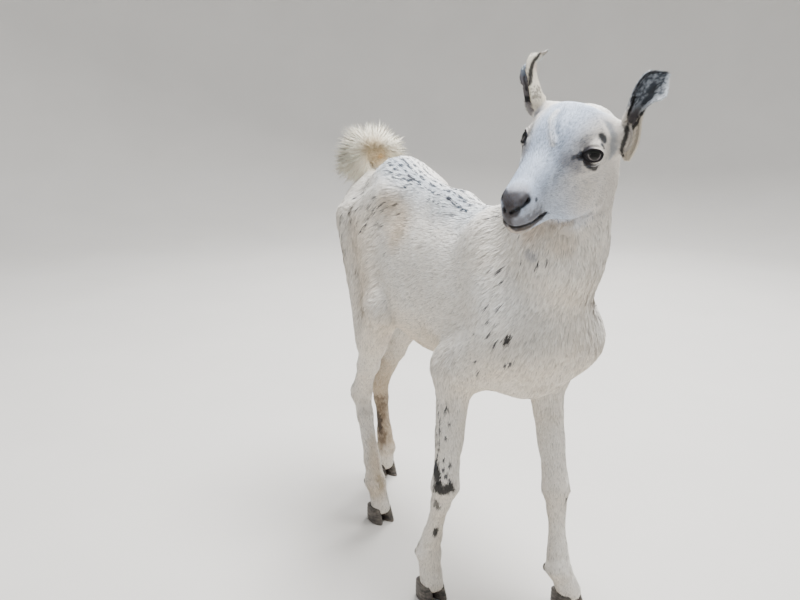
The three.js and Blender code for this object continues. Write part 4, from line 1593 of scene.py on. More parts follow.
@dataclass(frozen=True)
class EyeFinish:
    """The wet eye: iris, pupil and a ring of painted sheen come from the eyeball's colours, under a clear
    coat.
    """

    name: str = "wet_eye"
    roughness: float = 0.12
    specular: float = 0.2
    wetness: float = 0.22
    wet_roughness: float = 0.03

    def material(self) -> bpy.types.Material:
        """Return the material."""
        look = Look(self.name)
        tint = look.add("ShaderNodeAttribute", {"attribute_name": "tint"})
        place = look.add("ShaderNodeTexCoord")
        # iris fibres, a fifth of a millimetre
        fibre = look.add("ShaderNodeTexNoise", Vector=(place, "Object"), Scale=3500.0, Detail=2.0)
        shade = look.add("ShaderNodeMapRange", Value=fibre, i3=0.8, i4=1.2)
        mixed = look.add("ShaderNodeVectorMath", {"operation": "SCALE"}, Vector=tint, Scale=shade)
        look.join(look.shader, "Base Color", mixed)
        look.join(look.shader, "Roughness", self.roughness)
        look.join(look.shader, "Specular IOR Level", self.specular)
        look.join(look.shader, "Coat Weight", self.wetness)
        look.join(look.shader, "Coat Roughness", self.wet_roughness)
        return look.material


def paint(mesh: bpy.types.Mesh, colours: np.ndarray, name: str = "tint") -> None:
    """Store one linear colour per vertex as an attribute of the mesh."""
    layer = mesh.color_attributes.new(name, "FLOAT_COLOR", "POINT")
    rgba = np.ones((len(colours), 4), np.float32)
    rgba[:, :3] = colours
    layer.data.foreach_set("color", rgba.ravel())


def new_piece(name: str, mesh: bpy.types.Mesh, material: bpy.types.Material) -> bpy.types.Object:
    """Put a mesh in the scene as a piece that rides on the body.

    Args:
        name: the piece's name.
        mesh: its mesh, already in place.
        material: its finish.

    Returns:
        The piece.
    """
    mesh.materials.append(material)
    piece = bpy.data.objects.new(name, mesh)
    bpy.context.scene.collection.objects.link(piece)
    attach(piece, "root")
    return piece


# ---- Eyes, hooves and dewclaws ----------------------------------------------------------------


@dataclass
class Eyeball:
    """An eyeball with a domed cornea, a level slot of a pupil and a dark olive iris."""

    form: EyeForm
    iris: float = 0.47
    iris_middle: tuple[float, float] = (-0.02, 0.08)
    pupil: tuple[float, float] = (0.37, 0.15)
    pupil_drop: float = 0.10
    dome: float = 0.05
    iris_colour: str = "1E1F1C"
    pupil_colour: str = "070707"
    # painted sheen on the cornea: a pale ring at the iris's lower edge
    sheen_ring_colour: str = "7A7474"
    white_colour: str = "191619"

    def build(self, finish: bpy.types.Material) -> bpy.types.Object:
        """Build the piece.

        Args:
            finish: the wet eye's material.

        Returns:
            The piece: a ball about the eye's outlook whose radius swells by a bell over the iris.
        """
        name = f"eye_{self.form.side.name.lower()}"
        lean = np.linspace(0.0, np.pi, 72)[1:-1]
        angle = np.linspace(0.0, 2 * np.pi, 96, endpoint=False)
        swell = 1.0 + self.dome * bell(lean, 0.55)
        flat, out = np.sin(lean) * swell, np.cos(lean) * swell
        grid = np.stack(
            [
                flat[:, None] * np.cos(angle),
                flat[:, None] * np.sin(angle) * self.form.side.value,
                np.repeat(out[:, None], 96, axis=1),
            ],
            axis=-1,
        )
        local = np.vstack([grid.reshape(-1, 3), [0, 0, 1 + self.dome], [0, 0, -1]])
        world = self.form.centre() + local @ self.form.axes() * self.form.radius * MM
        rings = world[:-2].reshape(70, 96, 3)
        mesh = outward(closed_tube(rings, (world[-2], world[-1]))).to_mesh(name + "_ball")
        paint(mesh, self.colours(local))
        piece = new_piece(name + "_ball", mesh, finish)
        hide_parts(name)
        return piece

    def colours(self, local: np.ndarray) -> np.ndarray:
        """Return the eyeball's colours: pupil, iris, a pale ring of painted sheen in front and below, dark
        white.
        """
        ahead = local[:, 2] > 0
        x, y = local[:, 0] - self.iris_middle[0], local[:, 1] - self.iris_middle[1]
        away = np.hypot(x, y)
        slot = (np.abs(x / self.pupil[0]) ** 4 + np.abs((y + self.pupil_drop) / self.pupil[1]) ** 4) ** 0.25
        layers = (
            (self.iris_colour, smooth_step(self.iris + 0.03, self.iris - 0.03, away)),
            (self.pupil_colour, smooth_step(1.15, 0.85, slot)),
            # painted sheen: a pale ring along the iris's lower edge
            (self.sheen_ring_colour, bell(away - self.iris, 0.035) * smooth_step(0.16, -0.02, local[:, 1])),
        )
        tones = np.tile(linear(self.white_colour), (len(local), 1))
        for colour, strength in layers:
            share = (strength * ahead)[:, None]
            tones = tones * (1 - share) + linear(colour) * share
        return tones


@dataclass
class ClawForm:
    """One claw of a cloven hoof, in millimetres.

    The outline is a circle whose sines and cosines are raised to the power of its roundness.
    Ring depth, ring turns, roundings and bulge are shares of the outline or of the height.
    """

    length: float = 38.0
    top_length: float = 29.0
    width: float = 17.0
    top_width: float = 14.5
    set_back: float = 5.0
    spread: float = 9.0
    splay: float = 5.0
    pointed: float = 0.3
    inner_flat: float = 0.86
    most_yaw: float = 0.3
    yaw_softening: float = 20.0
    roundness: float = 0.9
    ring_depth: float = 0.012
    ring_turns: float = 30.0
    sole_rounding: float = 0.07
    crown_rounding: float = 0.10
    heel_bulge: float = 0.05
    above_joint: float = 0.8

    def turn(self, leg: LegForm, side: int) -> float:
        """Return how far the claw is turned about the upright, in radians."""
        toe = (leg.joint("hoof") - leg.joint("fetlock")) / MM
        slant = np.arctan2(toe[1], abs(toe[0]) + self.yaw_softening) / 2
        return float(np.clip(slant, -self.most_yaw, self.most_yaw) + side * np.radians(self.splay))

    def surface(self, leg: LegForm, side: int) -> Surface:
        """Return one claw.

        Args:
            leg: the leg that it ends.
            side: 1 for the claw on the animal's left of the foot, -1 for the other.

        Returns:
            Level outlines that shrink from sole to coronet, pointed at the toe and flat on the
            side of the cleft, with shallow growth rings, a rounded sole edge and a soft crown.
        """
        layers, sides = 26, 56
        up = np.linspace(0.0, 1.0, layers)[:, None]
        angle = np.linspace(0.0, 2 * np.pi, sides, endpoint=False)[None]
        ahead, aside = np.cos(angle), np.sin(angle)
        length = self.length + (self.top_length - self.length) * up
        width = self.width + (self.top_width - self.width) * up**2
        narrow = 1 - self.pointed * np.maximum(ahead, 0) ** 2
        inner = np.where(aside * side < 0, self.inner_flat, 1.0)
        rings = 1 + self.ring_depth * np.sin(up * self.ring_turns + 0.4 * ahead) * smooth_step(0.08, 0.2, up)
        edge = 1 - self.sole_rounding * smooth_step(0.06, 0.0, up)
        edge = edge - self.crown_rounding * smooth_step(0.93, 1.0, up)
        heel = 1 + self.heel_bulge * np.maximum(-ahead, 0) ** 3 * bell(up - 0.35, 0.3)
        x = length / 2 * np.sign(ahead) * np.abs(ahead) ** self.roundness * rings * edge * heel
        x = x - self.set_back * up
        y = width / 2 * np.sign(aside) * np.abs(aside) ** self.roundness * narrow * inner * rings * edge
        y = y + side * self.spread
        turn = self.turn(leg, side)
        foot = leg.joint("hoof") / MM
        place = np.stack(
            [
                foot[0] + x * np.cos(turn) - y * np.sin(turn),
                foot[1] + x * np.sin(turn) + y * np.cos(turn),
                np.broadcast_to(up * (HOOF_HEIGHT + self.above_joint), x.shape),
            ],
            axis=-1,
        )
        poles = place[[0, -1]].mean(axis=1)
        return outward(closed_tube(place * MM, (poles[0] * MM, poles[1] * MM)))


@dataclass
class DewclawForm:
    """A dewclaw behind the fetlock, in millimetres."""

    behind: float = 13.0
    apart: float = 8.5
    below: float = 6.0
    radii: tuple[float, float, float] = (4.6, 3.9, 6.6)
    taper: float = 0.25
    lean: float = 0.5

    def surface(self, leg: LegForm, side: int) -> Surface:
        """Return one dewclaw: a ball stretched downwards, narrowed to a blunt tip, and leaning back."""
        lean = np.linspace(0, np.pi, 22)[1:-1, None]
        angle = np.linspace(0, 2 * np.pi, 32, endpoint=False)[None]
        narrow = 1 - self.taper * np.cos(np.pi - lean)
        x = self.radii[0] * np.sin(lean) * np.cos(angle) * narrow
        y = self.radii[1] * np.sin(lean) * np.sin(angle) * narrow
        z = self.radii[2] * np.cos(lean)
        turned_x = x * np.cos(self.lean) + z * np.sin(self.lean)
        turned_z = z * np.cos(self.lean) - x * np.sin(self.lean)
        centre = leg.joint("fetlock") / MM + np.array([-self.behind, side * self.apart, -self.below])
        place = centre + np.stack([turned_x, y, turned_z], axis=-1)
        tip = self.radii[2] * np.array([np.sin(self.lean), 0, np.cos(self.lean)])
        return outward(closed_tube(place * MM, ((centre + tip) * MM, (centre - tip) * MM)))


@dataclass
class Feet:
    """All claws and dewclaws."""

    claw: ClawForm = field(default_factory=ClawForm)
    dewclaw: DewclawForm = field(default_factory=DewclawForm)

    def build(self, horn: bpy.types.Material) -> list[bpy.types.Object]:
        """Build a piece for each claw and each dewclaw, in place of its solid."""
        made = []
        for name, leg in LEGS.items():
            away = leg.side.value
            for digit, side in (("outer", away), ("inner", -away)):
                for kind, form in (("hoof", self.claw), ("dewclaw", self.dewclaw)):
                    node = f"{kind}_{name}_{digit}"
                    mesh = form.surface(leg, side).to_mesh(node + "_horn")
                    piece = new_piece(node + "_horn", mesh, horn)
                    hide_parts(node)
                    made.append(piece)
        return made


# ---- Markings, painted shade and painted light ------------------------------------------------


BLACK, CHARCOAL, SLATE, GREY_BLUE = "1B1A1B", "3A3B42", "B9C4D2", "39424E"


@dataclass(frozen=True)
class Patch:
    """A patch of colour about a path, in millimetres, for a mark of the coat, painted shade or painted light:
    its colour, reach and softness.
    """

    colour: str
    path: tuple
    reach: float
    strength: float = 1.0
    soft: float = 0.3
    ragged: float = 0.3
    both_sides: bool = False

    def share_at(self, place: np.ndarray, noise: np.ndarray) -> np.ndarray:
        """Return how strongly the mark shows.

        Args:
            place: places in millimetres of the axes that the path is given in.
            noise: a value from -1 to 1 at each place.

        Returns:
            Its strength inside the reach and 0 outside, fading across a ragged edge.
        """
        path = np.array(self.path, float)
        sides = ([1, 1, 1], [1, -1, 1]) if self.both_sides else ([1, 1, 1],)
        share = np.zeros(len(place))
        for side in sides:
            ends = path * side
            margin = self.reach * (1 + self.soft + self.ragged)
            low, high = ends.min(axis=0) - margin, ends.max(axis=0) + margin
            near = np.flatnonzero(((place > low) & (place < high)).all(axis=1))
            distance = path_distance(place[near], ends)[0] / self.reach + self.ragged * noise[near]
            share[near] = np.maximum(share[near], smooth_step(1 + self.soft, 1 - self.soft, distance))
        return share * self.strength


@dataclass(frozen=True)
class FleckBand:
    """Short dark flecks strewn about a path of the body, in millimetres."""

    path: tuple
    spread: float
    count: int
    half_length: float
    half_width: float
    colour: str = CHARCOAL
    strength: float = 0.85


BODY_PATCHES = (
    # painted shade in the hollow of the flank
    Patch("C3AA86", ((-96, -52, 486), (-70, -54, 452)), 24, 0.6, 0.8, both_sides=True),  # flank hollow
    # belly and the folds in front of the thighs: painted shade underneath
    Patch("D6C4AA", ((-120, -10, 330), (-30, -10, 300), (60, -10, 300)), 52, 0.6, 0.7, both_sides=True),
    Patch("D2BFA3", ((-150, -60, 440), (-139, -76, 405), (-125, -72, 360)), 30, 0.4, 0.7, both_sides=True),
    # back of the thigh
    Patch("C9B697", ((-232, -45, 400), (-214, -45, 330), (-204, -45, 260)), 24, 0.5, 0.7),
    # painted shade on the throat under the jaw
    Patch("C8AD8C", ((236, -46, 520), (226, -50, 500)), 16, 0.5, 0.7),  # throat
    # painted shade behind the elbows, where the forelegs meet the chest
    Patch("C2AE90", ((60, -60, 312), (20, -64, 330)), 24, 0.4, 0.8, both_sides=True),  # behind the elbow
    # hind left leg: tan, browner down the cannon
    Patch(
        "B79F7E",
        ((-225, 38, 300), (-250, 25, 230), (-266, 15, 182), (-275, 25, 120), (-285, 36, 70)),
        24, 0.75, 0.5,
    ),
    Patch("5E4A38", ((-268, 18, 150), (-274, 20, 112), (-280, 26, 68)), 9.0, 0.7, 0.6, 1.1),
    Patch("332A24", ((-272, 18, 118), (-277, 24, 88)), 5.0, 0.7, 0.4, 1.2),
    # hind right leg
    Patch(BLACK, ((-200, -55, 232), (-206, -56, 218), (-212, -54, 202)), 3.6, 0.95),
    Patch("C2A67C", ((-160, -40, 120), (-150, -44, 84), (-148, -44, 50)), 13, 0.5, 0.9, 0.5),
    Patch("9A8560", ((-144, -40, 96), (-142, -42, 60)), 5, 0.5, 0.7, 1.0),
    # right foreleg: flecks down the back edge, the knee's black patch and spots
    Patch(BLACK, ((104, -86, 193), (110, -86, 180)), 5.5, 0.95, 0.3, 0.9),
    Patch(BLACK, ((110, -86, 172), (116, -83, 171), (122, -75, 173)), 7.2, 0.95, 0.3, 0.7),
    Patch(BLACK, ((104, -83, 151), (103, -83, 143)), 4.0, 0.8, 0.4, 0.8),
    Patch(BLACK, ((92, -77, 108), (92, -77, 99)), 3.2, 0.95, 0.3, 0.5),
    Patch(CHARCOAL, ((166, 62, 152), (168, 60, 146)), 2.6, 0.8),  # left knee
    # breast and shoulder: one broad grey mark, one black spot
    Patch("9EA0A8", ((227, -49, 474), (232, -49, 472)), 6.5, 0.65, 0.6),
    Patch(BLACK, ((217, -64, 383), (215, -65, 377)), 2.8, 0.95),
    # spine: a pale bluish wash along the back, painted light from the sky above, and a blue-grey cast under
    # the flecks
    Patch("E2ECF6", ((-158, -24, 536), (-91, -24, 518), (0, -24, 505), (60, -26, 498)), 24, 0.7, 0.8),
    Patch(SLATE, ((-158, -14, 540), (-122, -18, 530), (-91, -13, 521), (-47, -14, 513)), 8, 0.45, 0.8, 0.7),
    Patch(SLATE, ((-47, -14, 513), (42, -13, 500)), 5, 0.45, 0.8, 0.7),
)

# tufts from beside a fleck hide its edges, so each is laid this many times as wide as it shows
FLECK_WIDENING = 1.3
FLECK_BANDS = (
    FleckBand(((-158, -10, 540), (-127, -15, 532), (-95, -11, 522)), 11.0, 150, 3.6, 1.5, GREY_BLUE, 0.9),
    FleckBand(((-150, -28, 527), (-112, -30, 522), (-88, -24, 518)), 6.0, 34, 5.0, 1.2, GREY_BLUE, 0.75),
    FleckBand(((-100, -13, 521), (-88, -16, 518)), 4.0, 14, 5.0, 1.5),
    FleckBand(
        ((-90, -11, 521), (-47, -14, 513), (-3, -16, 508), (46, -13, 499)), 8.5, 140, 3.8, 1.5, GREY_BLUE, 0.9
    ),
    FleckBand(((-30, -19, 508), (16, -19, 503)), 3.0, 12, 5.0, 1.3),
    FleckBand(((126, -36, 503), (152, -36, 499)), 5.0, 16, 4.5, 1.2),
    FleckBand(((-205, -42, 496), (-204, -62, 470), (-138, -60, 465), (-119, -56, 488)), 15.0, 46, 4.0, 1.1),
    FleckBand(((-222, -58, 440), (-214, -66, 400), (-205, -66, 372)), 12.0, 26, 4.5, 1.1, strength=0.7),
    FleckBand(((-262, -40, 436), (-250, -44, 385), (-228, -50, 320), (-212, -46, 270)), 6.0, 46, 6.5, 1.1),
    FleckBand(((-85, -64, 426), (-40, -66, 380), (50, -66, 400)), 24.0, 16, 4.0, 1.0, strength=0.4),
    FleckBand(
        ((-158, 8, 540), (-95, 6, 522), (-3, 6, 508), (46, 6, 499)), 9.0, 100, 3.8, 1.5, GREY_BLUE, 0.85
    ),
    FleckBand(((-205, 42, 496), (-204, 62, 470), (-138, 60, 465), (-119, 56, 488)), 17.0, 44, 4.0, 1.1),
    FleckBand(((205, 60, 400), (190, 60, 440), (170, 56, 460)), 16.0, 14, 4.5, 1.2),
    FleckBand(((100, 84, 260), (104, 84, 190)), 6.0, 8, 4.0, 1.2),
    FleckBand(((94, -83, 286), (100, -84, 240), (104, -87, 190)), 4.0, 22, 4.0, 1.0, BLACK),
)

# breast and shoulder flecks, each its place, half length and half width
PLACED_FLECKS = (
    (160, -57, 451, 5.0, 1.3), (179, -54, 446, 6.0, 2.0), (178, -56, 440, 3.5, 1.4),
    (191, -68, 410, 5.5, 1.4), (182, -68, 402, 6.5, 1.5), (192, -70, 396, 5.0, 1.3),
    (200, -70, 396, 4.5, 1.7), (196, -74, 384, 4.0, 1.3), (191, -75, 381, 3.5, 1.0),
    (204, -76, 377, 4.5, 1.6), (199, -77, 375, 4.5, 1.5), (170, -74, 380, 3.5, 1.0),
    (179, -78, 347, 4.5, 1.1), (171, -67, 327, 5.5, 2.2), (216, -64, 353, 4.5, 1.6),
    (223, -57, 353, 4.5, 1.6), (211, -50, 481, 5.0, 1.1), (246, -42, 469, 8.0, 1.3),
    (238, -45, 463, 6.0, 1.4), (214, -51, 466, 4.0, 1.4),
    # and the right foreleg's, down its back edge to the knee
    (112, -79, 276, 6.0, 1.6), (108, -82, 262, 5.0, 1.3), (107, -82, 252, 5.0, 1.5),
    (107, -84, 238, 4.5, 1.4), (107, -84, 226, 4.0, 1.2), (117, -75, 256, 3.5, 1.6),
    (114, -80, 232, 3.5, 1.3), (104, -85, 208, 6.0, 1.8), (102, -86, 199, 7.0, 2.0),
    (114, -80, 195, 3.2, 1.9), (117, -75, 199, 3.5, 2.0), (116, -78, 187, 3.5, 2.0),
    (113, -82, 206, 3.0, 1.4), (119, -76, 181, 3.0, 1.6),
)

HEAD_PATCHES = (
    # muzzle: charcoal leather about the nostrils with a soft top, grey lip, tan chin
    Patch("98908E", ((154, -2, -12), (150, 8, -13)), 8, 0.6, 0.8),
    Patch(
        "77757A",
        ((163, 6, -39), (156, 12, -38), (147, 15, -40), (135, 16, -45)),
        9.5, 0.9, 0.6, 0.7, both_sides=True,
    ),
    Patch("524D4E", ((160, -3, -20), (158, 3, -18), (153, 10, -18.5)), 6.6, 0.95, 0.45, 0.25),
    Patch("4E494A", ((162, 2, -24), (158, 7, -22)), 5.5, 0.95, 0.3, 0.2),
    Patch("4A4546", ((165, -2, -28), (163, 6, -26)), 6, 0.95, 0.25, 0.2),
    Patch("494445", ((167, -2, -34), (165, -2, -43)), 7.5, 0.92, 0.35),
    Patch("524D4E", ((152, -12, -20), (160, -6, -20)), 6, 0.95, 0.2, 0.15),
    Patch("B39E82", ((157, 1, -53), (153, 8, -54), (146, 12, -55)), 9, 0.8, 0.5, both_sides=True),
    Patch(
        "3A3432",
        ((160, 3, -49), (154, 10, -48), (138, 14, -50), (120, 15, -52.5)),
        4.2, 0.85, 0.3, 0.8, both_sides=True,
    ),
    # painted shade in the slit of the mouth
    Patch("1A1615", (*MOUTH_LINE, (116, 14.5, -52.6)), 2.6, 0.97, 0.25, 0.15, both_sides=True),
    # painted shade inside the nostrils
    Patch(
        "0F0D0E",
        ((164, 3, -28.4), (162.7, 8, -24.6), (156, 11.6, -22.8), (151, 13, -20.8)),
        2.1, 0.97, both_sides=True,
    ),
    Patch("0F0D0E", ((151, 13, -20.5),), 2.8, 0.95, 0.35, both_sides=True),
    # painted shade in the groove of the philtrum
    Patch("322C2C", ((170, 0, -27), (169, 0, -42)), 1.4, 0.7),
    Patch(CHARCOAL, ((141.5, 15.9, -24),), 2.2, 0.85),
    # eye: painted shadow in front of it, the wedge to the tear corner, the blotch below, the outer corner,
    # the brow's spots and painted shade above the upper lid
    # painted shadow in front of the eye, over the tear region
    Patch("8F8C92", ((91, 20, -9), (82, 27, -15)), 7, 0.6, 0.7, 0.6, both_sides=True),
    Patch("1B181C", ((69, 33, -12), (72.6, 28.5, -10.5)), 3.4, 0.96, 0.25, 0.25, both_sides=True),
    Patch(
        "1F1C20", ((69, 33, -7.5), (73.5, 28.8, -10), (77, 27, -10.5)), 3.8, 0.95, 0.35, 0.4, both_sides=True
    ),
    Patch("2B282C", ((77, 27, -10.5), (83, 24, -9)), 2.2, 0.8, 0.6, 0.7, both_sides=True),
    Patch("221E22", ((74, 31, -13), (73, 34, -17), (69.6, 35.2, -22)), 3.2, 0.92, 0.3, 0.35, both_sides=True),
    Patch("2A2524", ((73, 33.5, -17.5), (70, 36, -20.5), (62, 37.6, -25.6)), 3.8, 0.9, 0.3, 0.4),
    Patch("1F1C1E", ((50, 39, -13), (52.5, 40, -19)), 2.2, 0.9, 0.3, 0.3, both_sides=True),
    Patch("23272D", ((46, 34.6, -2.5), (44.6, 37, -6)), 3.7, 0.94, 0.3, 0.3),
    Patch("2E333C", ((51.5, 38, -9),), 3.4, 0.92),
    # painted shade in the fold above the upper lid
    Patch("6E6C76", ((74, 30, -4), (68, 32, -3)), 3.6, 0.45, 0.4, 1.2),
    Patch(CHARCOAL, ((72, -31, 2), (66, -33, 2)), 2.2, 0.8),
    Patch(CHARCOAL, ((33, 28, -80), (30, 28, -80)), 2.4, 0.7),
    # temples and the ears' roots
    Patch("7C8794", ((25, 32, -2), (27, 38, -14), (27, 39.6, -29)), 6.0, 0.66, 0.6, 0.7),
    Patch("8D96A6", ((24, -38, -8), (18, -42, -12)), 8, 0.6, 0.6),
    Patch(
        "19181A",
        ((18, 45.7, -28), (16, 46, -19), (10, 44.5, -11.5), (-1, 43.5, -6), (-6, 44.7, 2.6)),
        3.0, 0.95,
    ),
    Patch("3A3634", ((14, 51, -12), (17, 50, -17), (17, 49, -23)), 1.6, 0.8, 0.3, 1.0),
    # throat: painted shade in the fold under the jaw and on the throat behind it
    Patch("C9B598", ((50, -4, -118), (54, 6, -126)), 14, 0.5, 0.8),
    Patch("A89C8E", ((51, -6, -111), (49.5, 6, -107.5), (50, 15, -101), (50, 22, -95)), 4.2, 0.75, 0.7),
    # whorl and ridge of the forehead: a painted highlight along the ridge
    Patch("F6F4F0", ((52, -9, 17), (68, -7, 14.5), (80, -1, 9), (91, 6, 4)), 3.0, 0.7, 0.7),
)

# marks of the tail and painted shade in its hollow: millimetres along its lean, up from its root and out of
# the curl's plane
TAIL_PATCHES = (
    # the hollow's tan: partly its brownish skin, partly painted shade
    Patch("CDB78F", ((-2, 46, 0), (2, 38, 0)), 17, 0.85, 0.45, 0.2),
    # painted shadow along the hollow's rim
    Patch("8E7B5B", ((-19, 44, 0), (-17, 55, 0), (-6, 62, 0), (8, 61, 0)), 2.2, 0.45, 0.5, 0.8),
    # painted brown shade inside the hollow
    Patch("6B5A41", ((-14, 46, 0), (-15, 38, 0)), 2.4, 0.6, 0.5, 0.6),
    Patch("9A8560", ((-2, 52, 0), (1, 42, 0)), 2.2, 0.5, 0.5, 0.5),
    Patch("D39A4C", ((8, 35, 0),), 4.2, 0.7, 0.6),
    Patch("4F4232", ((-7, 24, 0),), 3.0, 0.7, 0.5),
)

# marks of the ears, with painted shade in the right ear's hollow: millimetres along, across and from the
# inner face (0) to the outer one (6)
LEFT_EAR_PATCHES = (
    Patch("E3D8C4", ((4, 0, 0), (26, 6, 0), (30, 6, 6)), 18, 0.8, 0.5),
    Patch("C4CCD6", ((58, 0, 0), (82, 2, 0)), 18, 0.9, 0.4),
    Patch("E4EAF0", ((66, 10, 0), (82, 10, 0)), 8, 0.85, 0.5),
    Patch("7A757A", ((40, -1, 0), (47, -5, 0), (57, -6, 0)), 9, 0.85, 0.3, 0.8),
    Patch("4A4648", ((52, 3, 0), (46, 3, 0), (38, 1, 0)), 4.5, 0.85, 0.4, 0.6),
    Patch("A4AEBA", ((56, -6, 0), (70, -6, 0), (80, -4, 0)), 11, 0.8, 0.6),
    Patch("39414D", ((54, -8, 0), (66, -9, 0), (79, -7, 0)), 3.0, 0.9, 0.2, 5.0),
    Patch("4C545F", ((56, 0, 0), (66, 2, 0), (79, 3, 0)), 1.5, 0.85, 0.2, 6.0),
    Patch("262A33", ((69, 1, 0), (61, 6, 0), (54, 6.5, 0)), 2.7, 0.92, 0.3, 0.4),
    Patch("2A2726", ((59, 14, 1), (48, 13.5, 1), (35, 8, 0), (26, 2, 0), (12, -8, 0)), 1.9, 0.9, 0.2, 1.1),
    Patch("F2EFE8", ((28, -14.5, 2), (46, -14.5, 2)), 2.4, 0.9, 0.4),
    Patch(
        "19181A", ((52, -14, 2), (66, -13.5, 2), (74, -12.5, 2), (79, -13.5, 2), (81, -6, 2)), 3.2, 0.95, 0.2
    ),
    Patch("19181A", ((2, -13, 2), (24, -14, 2)), 3.0, 0.95, 0.2),
    Patch("565C66", ((60, 0, 6), (78, 0, 6)), 8, 0.6, 0.15, 2.4),
    Patch(
        "19181A",
        ((6, -11, 5), (17, -13, 0), (25, -11, 0), (30, -8, 0), (42, -8, 0), (54, -8, 0)),
        2.8, 0.95, 0.25, 0.5,
    ),
)
RIGHT_EAR_PATCHES = (
    Patch("EAE2CE", ((4, 4, 6), (50, 4, 6)), 18, 0.85, 0.5),
    Patch("DCE4EC", ((54, -8, 0), (84, -6, 0)), 14, 0.9, 0.4),
    # painted shade in the right ear's hollow, over its inner face
    Patch("453F47", ((24, -10, 0), (36, -9, 0), (46, -9, 0)), 8, 0.92, 0.25, 0.5),
    Patch("1E1B20", ((30, -11.5, 0), (40, -10.6, 0), (48, -10, 0)), 0.9, 0.9, 0.4, 0.5),
    # grey painted shade deep in the hollow near the root
    Patch("807C80", ((4, -10, 0), (16, -10, 0)), 7, 0.85, 0.3, 0.5),
    Patch("1B191B", ((23, -15, 1), (20, -10, 0)), 2.4, 0.95, 0.3),
    Patch("56606E", ((52, -11, 0), (60, -10, 0), (72, -9, 0)), 5, 0.8, 0.12, 2.6),
    Patch("E3CBBF", ((49, 5, 6),), 5, 0.6, 0.6),
    Patch("6B655C", ((16, 9, 6), (22, 8, 6)), 2.6, 0.75, 0.15, 2.4),
    Patch(
        "1B191B",
        ((28, 12.8, 6), (37, 11.6, 6), (43, 10.4, 6), (48, 9.5, 6), (53, 8.8, 6), (60, 8.4, 6), (68, 12, 6)),
        1.5, 0.95, 0.3,
    ),
    Patch("857A6C", ((72, 10, 6), (82, 4, 6)), 5, 0.75, 0.4, 0.6),
)


@dataclass(frozen=True)
class CoatColours:
    """The coat's ground colours."""

    white: str = "F3F0EA"
    cream: str = "E4D8C6"
    face: str = "CDDAEE"
    cheek: str = "E6E0D8"
    stipple: str = "5E6C82"
    tail: str = "F9EFDA"
    eye_rim: str = "171418"


